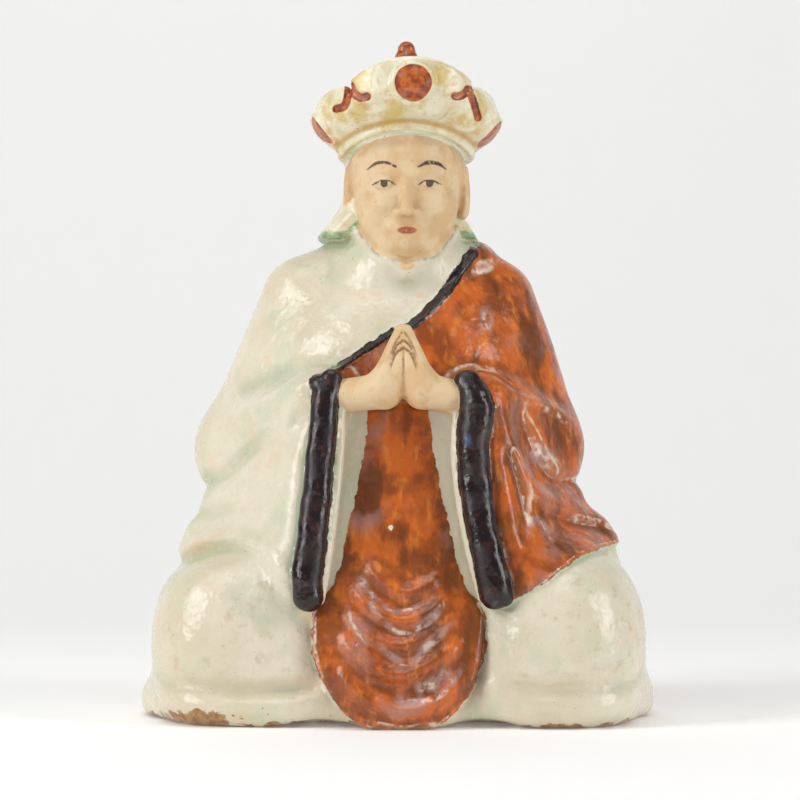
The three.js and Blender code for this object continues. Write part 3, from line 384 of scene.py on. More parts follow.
def sleeve_right(p):
    a, b, c, e = (24, -36, 97), (42, -7, 84), (51.5, -14, 57), (34, -42, 45)
    d = np.minimum(plate(p, a, b, c, SLAB_R), plate(p, a, c, e, SLAB_R))
    d = join(d, taper(p, (42, -3, 85), (23, -36, 97), 10.8, 7), 6)
    return join(d, taper(p, (56.6, -11, 53), (37, -41, 45), 8.9, 7), 5)


def add_apron(d, p):
    """Joins the apron to the robe, with a wider cloth under it."""
    x, y, z = p
    w, f = run(z, APRON, 1), run(z, APRON, 2)
    off = x - APRON_X
    side = w + 4.2 + 3.4 * ramp(36, 60, z)
    under = cut(f + 1.1 + (off / side) ** 2 * 1.2 - y, (np.abs(off) - side) * 0.95, 2.4)
    under = cut(under, y + 12, 1)
    under = cut(under, z - 98, 3)
    under = cut(under, 30 - z, 9)
    apron = cut(f + (off / w) ** 2 * 1.6 - y, (np.abs(off) - w) * 0.95, 1.4)
    apron = cut(apron, y + 12, 1)
    apron = cut(apron, z - 97, 3)
    return join(join(d, under, 2), apron, 1)


# hands: side, wrist and its radius
WRISTS = ((-1, (-19.5, -41, 98.6), 5.1), (1, (20.5, -41, 97.6), 5.2))

# lines between fingers, seen from the front: strength, points by distance from the middle and height
FINGER_LINES = (
    (0.7, ((0, 112.6), (0.1, 106), (0, 99))),
    (1.0, ((0.1, 113.2), (2.0, 111.6), (3.4, 108.6), (4.0, 105.6))),
    (0.9, ((0.1, 115.4), (1.9, 113.8), (3.4, 110.6), (4.6, 106.4))),
    (0.8, ((0.4, 117.8), (2.1, 115.2), (3.6, 112), (5.2, 108.6))))
finger_lines = [(strength, smooth_line(line, 4)) for strength, line in FINGER_LINES]


def finger_groove(p):
    """1 on a line between two fingers or between the palms, 0 away from it."""
    away = np.abs(p[0] - HAND_X)
    near = np.zeros_like(away)
    for strength, line in finger_lines:
        dist, share = near_line(away, p[2], line)
        near = np.maximum(near, strength * np.exp(-(dist / 0.45) ** 2) * (1 - 0.8 * share ** 3))
    return near * ramp(-41, -44, p[1])


def hands(p):
    """Pressed palms, drawn to a point, with the lines of the fingers one inside the other."""
    d = egg(p, (HAND_X, -44, 106.6), (4.6, 4.5, 7.6))
    for side, at, r in WRISTS:
        hand = taper(p, at, (HAND_X + side * 6.4, -44.4, 100.4), r, 5.3)
        hand = join(hand, egg(p, (HAND_X + side * 4.9, -44.4, 101), (4.9, 4.4, 5.6)), 2)
        root, tip = (HAND_X + side * 4.4, -44.6, 104.6), (HAND_X + side * 0.9, -44.2, 118.4)
        fingers = taper(p, root, tip, 4.8, 1.8)
        d = join(d, join(hand, fingers, 3), 1.6)
    return d + 0.45 * finger_groove(p)


def head(p):
    """Head with a calm, even, general face."""
    q = (p[0] - HEAD_X, p[1], p[2])
    m = (np.abs(q[0]), p[1], p[2])
    d = egg(q, (0, -6, 170), (17.7, 20.8, 21))
    d = join(d, egg(q, (0, -12.5, 154.6), (13.9, 14, 14.4)), 8)
    d = join(d, egg(m, (8.4, -18.6, 155.8), (5.4, 5.4, 6)), 6)
    d = join(d, egg(q, (0, -20.4, 145), (8, 6, 5)), 6)
    d = cut(d, -egg(m, (6.7, -29.2, 164.4), (4.8, 4, 2.8)), 3)
    d = join(d, egg(m, (6.8, -22.9, 163.6), (4.2, 3.3, 2.6)), 0.6)
    d = cut(d, -rope(m, EYELID), 0.4)
    d = join(d, taper(m, (3.4, -25.2, 167), (9.8, -23.3, 167.3), 1.3, 1.1), 2.6)
    d = join(d, taper(q, (0, -25.8, 165.6), (0, -28.8, 156.4), 1.15, 1.6), 2)
    d = join(d, egg(q, (0, -29.1, 155.1), (1.9, 1.9, 1.7)), 1.2)
    d = join(d, egg(m, (2.3, -27.3, 154.7), (1.5, 1.6, 1.3)), 0.8)
    d = join(d, egg(q, (0, -25, 149.6), (5.6, 2.4, 4)), 3.5)
    d = join(d, egg(m, (1.3, -27.2, 150), (2.4, 1.15, 0.8)), 0.6)
    d = join(d, egg(q, (0, -26.9, 148.2), (2.7, 1.3, 0.95)), 0.6)
    d = join(d, taper(p, (0.8, -4, 150), (1, -4, 140), 10, 12), 3)
    ear = egg(m, (18, -4, 163), (2, 4, 7.6))
    ear = join(ear, egg(m, (17.5, -5.2, 156.2), (1.7, 2.2, 2.6)), 1.5)
    ear = cut(ear, -egg(m, (20.3, -4.8, 164.4), (1.7, 2.3, 4.8)), 1)
    return join(d, ear, 1.4)


def cape_hem(x, y):
    """Height of the cape's lower edge: lowest at its two corners, lower at the back."""
    return 148 + 4 * ramp(-18, -11, -np.abs(x - CAPE_X)) - 2.5 * ramp(0, 20, y)


def cape(p):
    """The short cape that hangs from the crown behind the ears."""
    x, y, z = p
    dx, dy = x - CAPE_X, y - 3
    r = run(z, CAPE, 1) * np.where(dx > 0, 0.93, 1)
    d = (np.hypot(dx, dy * np.where(dy > 0, 1.32, 1.1)) - r) * 0.85
    d = cut(d, -(y + 9), 2)
    d = cut(d, cape_hem(x, y) - z, 1.2)
    return cut(d, z - 180, 2)


def crown_wall(p):
    """Offset from the axis, its length, the wall's radius, its foot and top, distance from its face."""
    x, y, z = p
    dx, dy = x - CROWN_X, y - CROWN_Y
    far = np.hypot(dx, dy)
    turn = np.arctan2(dx, -dy)
    low = 172.4 + 7.4 * np.maximum(np.cos(turn), 0) ** 1.5 - 2.5 * np.maximum(-np.cos(turn), 0)
    turn = turn - LOBE_TURN
    t = np.abs(np.where(turn < -math.pi, turn + 2 * math.pi, turn))
    front = ramp(FRONT_LOBE + 0.02, FRONT_LOBE - 0.02, t)
    u = t / FRONT_LOBE
    v = np.abs(2 * (((t - FRONT_LOBE) / SIDE_LOBE) % 1) - 1)
    notch = sum(np.exp(-((t - at) / 0.06) ** 2) for at in (FRONT_LOBE + SIDE_LOBE, math.pi))
    front_top = CROWN_TOP - 5.8 * u ** 2 - 0.8 * u ** 8
    side_top = 188.6 + 5.2 * np.cos(turn) + 2 * (1 - v ** 4)
    top = np.where(t < FRONT_LOBE, front_top, side_top) - 1.3 * notch
    h = z - low
    flare = 10.2 * np.sin(math.pi / 2 * np.clip(h / 12.5, 0, 1))
    outer = 19 + flare - (4.8 - 2.6 * front) * ramp(11, 26, h)
    outer = outer + 0.9 * front * ramp(6, 12, h) - 0.7 * np.exp(-((h - 3.4) / 1.0) ** 2)
    wall = (far - outer + 1.5 * notch * ramp(-9, -1, z - top)) * 0.85
    return dx, dy, far, outer, low, top, wall


def jewel_place(p, dx, dy, jewel):
    """How far out a point is in a boss's direction, and how far from the middle of the boss."""
    angle, height = jewel[:2]
    nx, ny = math.sin(angle), -math.cos(angle)
    return dx * nx + dy * ny, np.hypot(dx * ny - dy * nx, p[2] - height)


scroll_lines = [smooth_line(line, 4) for line in SCROLLS]


def crown(p):
    """Flared wall of five lobes round a low dome, with a rolled rim, bosses and a knob."""
    x, y, z = p
    dx, dy, far, outer, low, top, wall = crown_wall(p)
    d = cut(wall, (z - top) * 0.9, 1.3)
    d = cut(d, low - z, 1)
    front = (y < -14) & (z > 180) & (z < 196)
    for line in scroll_lines:
        away, share = near_line(x[front], z[front], line)
        d[front] += SCROLL_DEEP * np.exp(-(away / SCROLL_HALF) ** 4) * ramp(-0.1, 0.35, share)
    hollow = cut((far - (outer - 3.6)) * 0.85, 183 - z, 1.5)
    d = cut(d, -hollow, 1.6)
    d = join(d, cut(egg(p, (CROWN_X, CROWN_Y + 1, 181), (21, 21, 17.5)), 176 - z, 1), 1.2)
    d = join(d, np.hypot(far - 20.3, z - low - 0.9) - 1.0, 0.2)
    for jewel in JEWELS:
        r, rise = jewel[2:]
        out, across = jewel_place(p, dx, dy, jewel)
        boss = cut(across - r, wall - rise + (across / r) ** 2 * 0.45 * rise, 0.8)
        boss = np.maximum(boss, -2 - wall)
        ring = np.hypot(across - r - 0.3, wall - 0.33 * rise) - 0.4 - 0.3 * rise
        d = join(d, np.where(out > 5, join(boss, ring, 0.3), 9), 0.4)
    foot, waist, neck, tip = ((CROWN_X, CROWN_Y + 1, height) for height in (197, 202.6, 204.4, 206.5))
    knob = join(taper(p, foot, waist, 6.2, 4), taper(p, neck, tip, 3.2, 2.7), 0.7)
    return join(d, knob, 0.8)


fold_lines = [(wide, high, smooth_line(line, 4)) for wide, high, line in FOLDS]
band_line = smooth_line(BAND, 3)
band_mark = band_line[(band_line[:, 1] > 106.4) & (band_line[:, 1] < 144.5)]


def relief(p):
    """Height of the narrow folds, on the front of the cloth."""
    x, y, z = p
    out = np.zeros_like(x)
    for wide, high, line in fold_lines:
        low, top = line.min(0) - 2.6 * wide, line.max(0) + 2.6 * wide
        near = np.nonzero((x > low[0]) & (x < top[0]) & (z > low[1]) & (z < top[1]) & (y < 8))[0]
        if len(near):
            dist, share = near_line(x[near], z[near], line)
            fade = 1 - np.abs(2 * share - 1) ** 4
            out[near] += high * np.exp(-(dist / wide) ** 2) * fade * ramp(6, -8, y[near])
    return out


def mantle_edges(p):
    """How far inside the outer cloth a point is, and how far from its border down the back."""
    x, y, z = p
    edge = (x - np.interp(z, band_line[:, 1], band_line[:, 0])) * 0.75
    fall = ramp(-10, 26, y)
    hem = level(x, HEM) * (1 - fall) + HEM_BEHIND * fall
    front = np.minimum(np.minimum(edge, z - hem), 10 - y)
    back_edge = (x - level(z, BACK)) * 0.8
    back = np.minimum(np.minimum(back_edge, z - np.where(x > 0, hem, HEM_BEHIND)), y - 2)
    return np.maximum(front, back), back_edge


def collar(p):
    return np.minimum(rope(p, COLLAR_L), rope(p, COLLAR_R))


def figure(p):
    """Distance from the whole figure's surface."""
    p = tuple(np.asarray(v, np.float32) for v in p)
    x, y, z = p
    d = robe(p)
    d = join(d, sleeve_left(p), 8)
    d = join(d, sleeve_right(p), 7)
    inside, back_edge = mantle_edges(p)
    lay = ramp(152, 146, z)
    d = d - MANTLE_THICK * ramp(-0.8, 0.8, inside) * lay
    d = d - np.exp(-(back_edge / 1.7) ** 4) * ramp(2, 6, y) * lay
    near = (np.abs(x) < 28) & (z > 100) & (z < 150) & (y < 4)
    if near.any():
        away = near_line(x[near], z[near], band_mark)[0]
        d[near] -= 1.0 * np.exp(-(away / band_half(z[near])) ** 4)
    d = add_apron(d, p)
    d = join(d, in_box(lambda q: rope(q, LINING_L), p, (-32, -56, 30), (-10, -30, 112)), 1.2)
    d = join(d, in_box(lambda q: rope(q, LINING_R), p, (8, -56, 30), (32, -30, 112)), 1.2)
    d = d - relief(p)
    d = join(d, in_box(lambda q: strip(q, BORDER_L, BORDER_FLAT), p, (-40, -64, 26), (-12, -30, 116)), 0.5)
    d = join(d, egg(p, *CUFF), 1.2)
    d = join(d, in_box(lambda q: strip(q, BORDER_R, BORDER_FLAT), p, (8, -64, 26), (40, -30, 116)), 0.5)
    d = join(d, egg(p, *CHEST), 5)
    d = join(d, in_box(collar, p, (-26, -34, 130), (28, 10, 162)), 4)
    d = join(d, egg(p, *THROAT), 1)
    d = cut(d, -z, 4)
    d = join(d, in_box(cape, p, (-40, -20, 138), (40, 40, 186)), 1.5)
    d = join(d, in_box(head, p, *HEAD_BOX), 1)
    d = join(d, in_box(crown, p, (-40, -44, 164), (42, 36, 216)), 0.8)
    return join(d, in_box(hands, p, *HANDS_BOX), 0.6)


def field_on_grid(low, high, step, block=8):
    """Distances on a grid; only the blocks of cells near the surface are worked out finely."""
    n = [int(math.ceil((high[i] - low[i]) / step / block)) for i in range(3)]
    middles = [low[i] + (np.arange(n[i]) + 0.5) * step * block for i in range(3)]
    spots = [v.ravel().astype(np.float32) for v in np.meshgrid(*middles, indexing="ij")]
    rough = figure(spots).reshape(n)
    values = np.full([m * block + 1 for m in n], 10, np.float32)
    values[:-1, :-1, :-1] = rough.repeat(block, 0).repeat(block, 1).repeat(block, 2)
    near = np.argwhere(np.abs(rough) < step * block * 1.25)
    steps = np.arange(block + 1)
    offsets = np.stack([v.ravel() for v in np.meshgrid(steps, steps, steps, indexing="ij")])
    for part in np.array_split(near, max(1, len(near) // 3000)):
        at = [(part[:, i, None] * block + offsets[i][None]).ravel() for i in range(3)]
        values[at[0], at[1], at[2]] = figure([low[i] + at[i] * step for i in range(3)])
    return values


def skin(low, high, step):
    """One point in each cell that the surface crosses, one quad for each grid edge that it crosses."""
    values = field_on_grid(low, high, step)
    solid = values < 0
    size = values.shape
    corners = [(i, j, k) for i in (0, 1) for j in (0, 1) for k in (0, 1)]
    count = np.zeros([m - 1 for m in size], np.uint8)
    for i, j, k in corners:
        count += solid[i:size[0] - 1 + i, j:size[1] - 1 + j, k:size[2] - 1 + k]
    cells = np.argwhere((count > 0) & (count < 8))
    number = np.full([m - 1 for m in size], -1, np.int32)
    number[tuple(cells.T)] = np.arange(len(cells))
    total = np.zeros((len(cells), 3), np.float32)
    crossings = np.zeros(len(cells), np.float32)
    quads = []
    for axis in range(3):
        u, v = (axis + 1) % 3, (axis + 2) % 3
        for a, b in ((0, 0), (0, 1), (1, 0), (1, 1)):
            start = np.zeros(3, int)
            start[u], start[v] = a, b
            end = start.copy()
            end[axis] = 1
            f0 = values[tuple((cells + start).T)]
            f1 = values[tuple((cells + end).T)]
            crossed = (f0 < 0) != (f1 < 0)
            point = np.tile(start.astype(np.float32), (len(cells), 1))
            point[:, axis] += np.where(crossed, f0 / np.where(crossed, f0 - f1, 1), 0)
            total += np.where(crossed[:, None], point, 0)
            crossings += crossed
        edges = np.argwhere(np.diff(solid, axis=axis))
        ring = []
        for du, dv in ((1, 1), (0, 1), (0, 0), (1, 0)):
            cell = edges.copy()
            cell[:, u] -= du
            cell[:, v] -= dv
            ring.append(number[tuple(cell.T)])
        quad = np.stack(ring, 1)
        inward = ~solid[tuple(edges.T)]
        quad[inward] = quad[inward][:, ::-1]
        quads.append(quad)
    points = (cells + total / crossings[:, None]) * step + np.array(low)
    return points.astype(np.float32), np.concatenate(quads)


def slope(points, reach=0.15):
    """Direction away from the surface, by differences over a short reach."""
    out = []
    for i in range(3):
        ahead, behind = ([points[:, j].copy() for j in range(3)] for _ in range(2))
        ahead[i] += reach
        behind[i] -= reach
        out.append((figure(ahead) - figure(behind)) / (2 * reach))
    return np.stack(out, 1)


def settle(points, farthest):
    """Moves each point onto the surface."""
    d = figure(points.T)
    g = slope(points)
    move = -(d / np.maximum((g * g).sum(1), 0.05))[:, None] * g
    length = np.linalg.norm(move, axis=1)
    return points + move * np.minimum(1, farthest / np.maximum(length, 1e-9))[:, None]


points, quads = skin(*FIELD_BOX, SKIN_STEP * (1))
points = settle(points, SKIN_STEP / 2)

# the frame's origin, in the field's millimetres: the mesh starts where the solid starts
middle = points.min(0) - MM_PER_M * np.array(cad_low)

mesh = bpy.data.meshes.new("figure_skin")
mesh.from_pydata(points.tolist(), [], quads.tolist())
piece = bpy.data.objects.new("porcelain_figure", mesh)
bpy.context.scene.collection.objects.link(piece)


def fine_places(x, y, z):
    """The face, the front of the crown and the hands are worked twice as finely as the cloth."""
    face = (z > 138) & (z < 174) & (y < -8) & (np.abs(x - HEAD_X) < 22)
    crown_front = (z >= 168) & (y < -6)
    joined_hands = (np.abs(x) < 25) & (y < -34) & (z > 92) & (z < 126)
    return face | crown_front | joined_hands


def mesh_points(mesh):
    """The mesh's points as rows of x, y, z."""
    flat = np.empty(len(mesh.vertices) * 3, np.float32)
    mesh.vertices.foreach_get("co", flat)
    return flat.reshape(-1, 3)


fine = fine_places(*points.T)
worked = bmesh.new()
worked.from_mesh(mesh)
split = [edge for edge in worked.edges if fine[edge.verts[0].index] and fine[edge.verts[1].index]]
bmesh.ops.subdivide_edges(worked, edges=split, cuts=1, use_grid_fill=True)
worked.to_mesh(mesh)
worked.free()
points = mesh_points(mesh)
near = fine_places(*points.T)
points[near] = settle(points[near], SKIN_STEP / 2)
mesh.vertices.foreach_set("co", points.ravel())

# the share of thinning: the broad cloth gives up more triangles than head, hands, borders and painted edges
x, y, z = points.T
spare = np.full(len(points), 0.6)
spare[y > 10] = 1.0
spare[fine_places(x, y, z)] = 0.0
spare[near_line(x, z, band_line)[0] < 5] = 0.15
spare[(np.abs(run(z, APRON, 1) - np.abs(x - APRON_X)) < 1.8) & (y < -28) & (z < 100)] = 0.05
spare[(np.abs(z - level(x, HEM)) < 1.6) & (x > 29) & (y < 10)] = 0.15
group = piece.vertex_groups.new(name="spare")
for value in np.unique(spare):
    group.add(np.nonzero(spare == value)[0].tolist(), float(max(value, 1e-3)), "REPLACE")
thin = piece.modifiers.new("thin", "DECIMATE")
mesh.calc_loop_triangles()
thin.ratio = min(1.0, SKIN_FACES / len(mesh.loop_triangles))
thin.vertex_group = "spare"
thin.vertex_group_factor = 1.0
graph = bpy.context.evaluated_depsgraph_get()
thinned = bpy.data.meshes.new_from_object(piece.evaluated_get(graph))
piece.modifiers.clear()
piece.vertex_groups.clear()
piece.data = thinned
bpy.data.meshes.remove(mesh)
mesh = thinned

# Figure, its painted areas.
# The glazes are brushed on by hand: celadon-white first, iron red on outer cloth and apron, dark brown on the
# borders, straw on the crown; face and hands stay bare biscuit. Each area is kept as a distance in
# millimetres from its edge, above zero inside, so that glazes meet in a sharp, slightly unsteady line.

HIDE_BEHIND = -30.0        # a value for points that a painted area can't reach

points = mesh_points(mesh)
normals = slope(points)
normals /= np.maximum(np.linalg.norm(normals, axis=1), 1e-6)[:, None]
p = tuple(points.T)
x, y, z = p
frontal = -normals[:, 1]

border_rows = np.array(BORDER_R)[::-1]
inside, back_edge = mantle_edges(p)
band_dist = near_line(x, z, band_mark)[0]
apron_in = np.minimum(run(z, APRON, 1) + 0.5 - 0.6 * ramp(34, 44, z) - np.abs(x - APRON_X), 99 - z)
apron_in = np.where((y < -28) & (frontal > -0.5), apron_in, HIDE_BEHIND)
cloth_in = np.where(z < 150, inside, HIDE_BEHIND)
past_border = x - np.interp(z, border_rows[:, 2], border_rows[:, 0])
between_sleeves = (z < 101) & (y < -15) & (x < 32)
cloth_in = np.where(between_sleeves, np.minimum(cloth_in, past_border), cloth_in)
border_in = np.maximum(0.45 - strip(p, BORDER_L, BORDER_FLAT), 0.45 - strip(p, BORDER_R, BORDER_FLAT))
border_in = np.maximum(border_in, 0.4 - egg(p, *CUFF))
lining_in = np.maximum(0.6 - rope(p, LINING_L), 0.6 - rope(p, LINING_R))
band_in = np.where((y < 6) & (z > 100), band_half(z) + 0.2 - band_dist, HIDE_BEHIND)
back_band_in = np.where((y > 1) & (z < 152), 2.1 - np.abs(back_edge), HIDE_BEHIND)

dx, dy, far, _, low, top, wall = crown_wall(p)
crown_in = np.where((z > 166) & (far < 34), z - low + 0.6, HIDE_BEHIND)
jewel_in = np.full(len(points), HIDE_BEHIND, np.float32)
for jewel in JEWELS:
    out, across = jewel_place(p, dx, dy, jewel)
    jewel_in = np.maximum(jewel_in, np.where(out > 8, jewel[2] - 0.2 - across, HIDE_BEHIND))
scroll_in = np.full(len(points), HIDE_BEHIND, np.float32)
for line in scroll_lines:
    nearest = SCROLL_HALF + 0.15 - near_line(x, z, line)[0]
    scroll_in = np.maximum(scroll_in, np.where((wall > -1.8) & (y < -14) & (z > 180), nearest, HIDE_BEHIND))
knob_in = np.where(far < 9, z - 200.0, HIDE_BEHIND)
foot_groove = np.exp(-((z - low - 2.7) / 0.8) ** 2) * np.where(z > 168, 1, 0)

cape_in = np.where((z > 143) & (z < 180), -cape(p) + 0.8, HIDE_BEHIND)
crown_in = np.maximum(crown_in, cape_in)
from_head = in_box(head, p, *HEAD_BOX)
head_in = np.where(z > 138, 0.9 - from_head, HIDE_BEHIND)
flesh_in = np.minimum(head_in, np.where(cape_in > 0.2, HIDE_BEHIND, 1e3))
flesh_in = np.minimum(flesh_in, low - 1.4 - z)
from_hands = in_box(hands, p, *HANDS_BOX)
hands_in = np.where((y < -30) & (z > 84) & (z < 124), 0.7 - from_hands, HIDE_BEHIND)
hands_in = np.minimum(hands_in, -np.maximum(border_in, lining_in) + 0.2)
neck_in = np.where((y < -8) & (z > 134), 1.2 - np.hypot((x - 1.7) * 0.5, z - 138.6), HIDE_BEHIND)
hem_in = np.where(cape_in > 0, 1.1 - np.abs(z - cape_hem(x, y) - 0.9), HIDE_BEHIND)

# lilac-grey painted reflections and painted highlights along folds and shoulder: half width, points from the
# front
PAINTED_HIGHLIGHT_STROKES = (
    (1.7, ((-13.4, 46), (-10.4, 41), (-7.6, 36.6))),
    (0.9, ((-7.8, 37.5), (-3, 35.4), (0.4, 35), (6, 37.2), (12.2, 41.6))),
    (1.0, ((-12.8, 44.8), (-9, 36.8), (-4.4, 31), (0.4, 28.6), (6, 30.2), (11.8, 34.8))),
    (1.7, ((2, 29.6), (7, 31.4), (12, 36))),
    (1.2, ((-8.7, 28.4), (-5, 23.4), (1.3, 19.8), (7, 23.4), (12.2, 29.3), (17.7, 32.9))),
    (1.9, ((5, 22.6), (9, 26), (13, 30.4))),
    (1.3, ((-3.7, 10.7), (3.1, 8.4), (12.2, 11.1), (18.6, 19.8))),
    (2.2, ((3, 12.4), (9, 13.6), (15, 19))),
    (1.0, ((-16.6, 38), (-14.6, 31), (-9.4, 24))),
    (2.2, ((25, 127), (26, 122), (25.4, 118))),
    (3.4, ((38.4, 85.4), (42.6, 80.4), (49, 76.6))),
    (2.0, ((37.4, 62.4), (41.6, 60), (46.4, 54.6))),
    (1.4, ((28.6, 62), (30.4, 50), (33, 41.6))))

# small marks: a white chip on the apron, a blue spot on the right border, bare clay at the foot, worn knees
on_front = y < -36
spot_in = np.where(on_front, 0.8 - np.hypot(x + 3.3, z - 59.6), HIDE_BEHIND)
blue_in = np.where(on_front, 1.4 - np.hypot(x - 19.4, (z - 85.8) * 0.6), HIDE_BEHIND)
# a painted highlight along the top edge of the crown
painted_highlight_edge_in = np.where((z > 180) & (far > 18), 0.55 - np.abs(z - top + 0.2), HIDE_BEHIND)
# painted highlight: each stroke fades towards its two ends
painted_highlight = np.zeros_like(x)
for half_wide, points_of_line in PAINTED_HIGHLIGHT_STROKES:
    dist, share = near_line(x, z, smooth_line(points_of_line, 4))
    stroke = ramp(1.5, 0.3, dist / half_wide) * (1 - np.abs(2 * share - 1) ** 4)
    painted_highlight = np.maximum(painted_highlight, np.where(y < 8, stroke, 0))
# painted shade between the apron's lower folds, darker where the fold relief is low
painted_fold_shade = np.where((apron_in > 0) & (z < 52), 1 - np.clip(relief(p), 0, 1), 0)
chip = 1.8 - np.hypot((x + 60.4) / 10.8, (z - 2.4) / 2.6) * 1.8
rim_chips = 1.1 - z + 0.6 * np.sin(x * 0.31) + 0.5 * np.sin(x * 0.83 + 2)
clay_in = np.maximum(np.where(y < -8, chip, HIDE_BEHIND), rim_chips)
worn = ramp(10, 22, z) * ramp(52, 40, z) * ramp(24, 34, np.abs(x)) * ramp(5, -15, y)

# a general face, painted with a few strokes: brows, upper lids, irises, lips; the same on both sides
away = np.abs(x - HEAD_X)
on_face = (y < -14) & (z > 140) & (z < 176)
brow_line = smooth_line(((3.4, 168.6), (6.4, 169.9), (9.4, 169.7), (12, 168.1)), 5)
dist, share = near_line(away, z, brow_line)
brow_in = np.where(on_face, 0.55 * (1 - 0.5 * np.abs(2 * share - 1) ** 2) - dist, HIDE_BEHIND)
lid_line = smooth_line(((3.6, 163.2), (5.4, 164.3), (7.8, 164.4), (10.4, 163.2)), 5)
dist, share = near_line(away, z, lid_line)
lid_in = np.where(on_face, 0.26 - dist, HIDE_BEHIND)
iris_in = np.where(on_face, np.minimum(1.15 - np.hypot(away - 6.9, z - 163.5), 164.3 - z), HIDE_BEHIND)
lip_in = np.where(on_face, 1 - np.hypot(away / 3.1, (z - 149.2) / 1.25), HIDE_BEHIND)

# glaze gathers in hollows and runs thin on ridges; the hollow value also darkens creases and recesses as
# painted shade, and the ridge value also carries a painted highlight outline on the iron red
hollow = 2.4 - figure((points + normals * 2.4).T)
beside_apron = (y < -30) & (np.abs(x) < 22) & (z < 100) & (apron_in < 0)
hollow = np.where(beside_apron, 0.35 * hollow, hollow)
hollow = hollow * (1 - 0.5 * ramp(34, 30, z) * ramp(34, 30, np.abs(x)))
# painted shadow line along the jaw, where the robe meets the head
painted_jaw_shadow = np.where((y < -8) & (z > 137) & (z < 154), np.exp(-((from_head - 0.9) / 0.7) ** 2), 0)
# painted shade on the forehead under the crown's rim, with some soil
rim_shade_and_soil = np.where(y < -8, np.exp(-((low - 2 - z) / 3) ** 2), 0)
ridge = figure((points - normals * 1.6).T) + 1.6

painted = {
    "cloth_in": cloth_in, "apron_in": apron_in, "border_in": border_in, "lining_in": lining_in,
    "band_in": np.maximum(band_in, back_band_in),
    "crown_in": crown_in, "foot_groove": foot_groove, "painted_highlight_edge_in": painted_highlight_edge_in, "hem_in": hem_in,
    "jewel_in": np.maximum(np.maximum(jewel_in, scroll_in), knob_in),
    "flesh_in": np.maximum(flesh_in, neck_in), "rim_shade_and_soil": rim_shade_and_soil,
    "brow_in": brow_in, "eye_in": np.maximum(lid_in, iris_in), "lip_in": lip_in,
    "hands_in": hands_in, "finger_line": np.where(hands_in > 0, finger_groove(p), 0),
    "hollow": hollow, "ridge": ridge, "painted_fold_shade": painted_fold_shade, "painted_highlight": painted_highlight, "painted_jaw_shadow": painted_jaw_shadow, "worn": worn,
    "spot_in": spot_in, "blue_in": blue_in, "clay_in": clay_in}
for name, values in painted.items():
    layer = mesh.attributes.new(name, "FLOAT", "POINT")
    layer.data.foreach_set("value", np.clip(values, HIDE_BEHIND, 30).astype(np.float32))

mesh.vertices.foreach_set("co", ((points - middle) / MM_PER_M).astype(np.float32).ravel())
mesh.polygons.foreach_set("use_smooth", [True] * len(mesh.polygons))
mesh.update()


def linear(code):
    """An sRGB hex colour as linear red, green, blue and full alpha."""
    parts = [int(code[i:i + 2], 16) / 255 for i in (1, 3, 5)]
    return [v / 12.92 if v <= 0.04045 else ((v + 0.055) / 1.055) ** 2.4 for v in parts] + [1.0]


def add(tree, kind, inputs=(), out=0, **settings):
    """Adds one node with its settings and its inputs, and gives the output asked for."""
    made = tree.nodes.new(kind)
    for key, value in settings.items():
        setattr(made, key, value)
    for key, value in dict(inputs).items():
        if isinstance(value, bpy.types.NodeSocket):
            tree.links.new(value, made.inputs[key])
        else:
            made.inputs[key].default_value = value
    return made.outputs[out] if len(made.outputs) else made


# Glazed porcelain, its look.
# A glassy coat over a pale body, so it is glossy and its colours swim a little: celadon-white turns green
# where it lies thick, iron red breaks to orange and brown along the brush, biscuit stays matt.
porcelain = bpy.data.materials.new("hand_glazed_porcelain")
porcelain.use_nodes = True
tree = porcelain.node_tree
tree.nodes.clear()
place = add(tree, "ShaderNodeTexCoord", out="Object")


def clouds(size, low=0.0, high=1.0, amount=1.0, detail=3.0, rough=0.55, squash=(1, 1, 1), shift=(0, 0, 0)):
    """Cloudy patches about `size` millimetres across: 0 below `low` and `amount` above `high`."""
    scaled = [MM_PER_M / size * v for v in squash]
    at = add(tree, "ShaderNodeMapping", {"Vector": place, "Scale": scaled, "Location": shift})
    noise = {"Vector": at, "Scale": 1.0, "Detail": detail, "Roughness": rough}
    noise = add(tree, "ShaderNodeTexNoise", noise)
    ends = {"Value": noise, "From Min": low, "From Max": high, "To Max": amount}
    return add(tree, "ShaderNodeMapRange", ends, interpolation_type="SMOOTHSTEP")


def stored(name, low, high, amount=1.0):
    """What was worked out for the mesh under this name: 0 at `low` and `amount` at `high`."""
    value = add(tree, "ShaderNodeAttribute", out="Fac", attribute_name=name)
    ends = {"Value": value, "From Min": low, "From Max": high, "To Max": amount}
    return add(tree, "ShaderNodeMapRange", ends, interpolation_type="SMOOTHSTEP")


HAND_SHAKE = 0.9           # millimetres by which a brushed edge wanders
shake = clouds(3.5, 0.3, 0.7, HAND_SHAKE, detail=4)


def brushed(name, soft=0.12, waver=1.0, amount=1.0):
    """`amount` inside a painted area and 0 outside it, with the unsteady edge of a brush."""
    edge = add(tree, "ShaderNodeAttribute", out="Fac", attribute_name=name)
    edge = add(tree, "ShaderNodeMath", {0: shake, 1: waver, 2: edge}, operation="MULTIPLY_ADD")
    line = waver * HAND_SHAKE / 2
    ends = {"Value": edge, "From Min": line - soft, "From Max": line + soft, "To Max": amount}
    return add(tree, "ShaderNodeMapRange", ends, interpolation_type="SMOOTHSTEP")


def glaze(colour, *coats):
    """A colour with coats laid over it: each has its own colour and the shares by which it shows."""
    under = linear(colour) if isinstance(colour, str) else colour
    for top, share, *others in coats:
        for other in others:
            share = add(tree, "ShaderNodeMath", {0: share, 1: other}, operation="MULTIPLY")
        over = linear(top) if isinstance(top, str) else top
        under = add(tree, "ShaderNodeMix", {0: share, 6: under, 7: over}, out=2, data_type="RGBA")
    return under


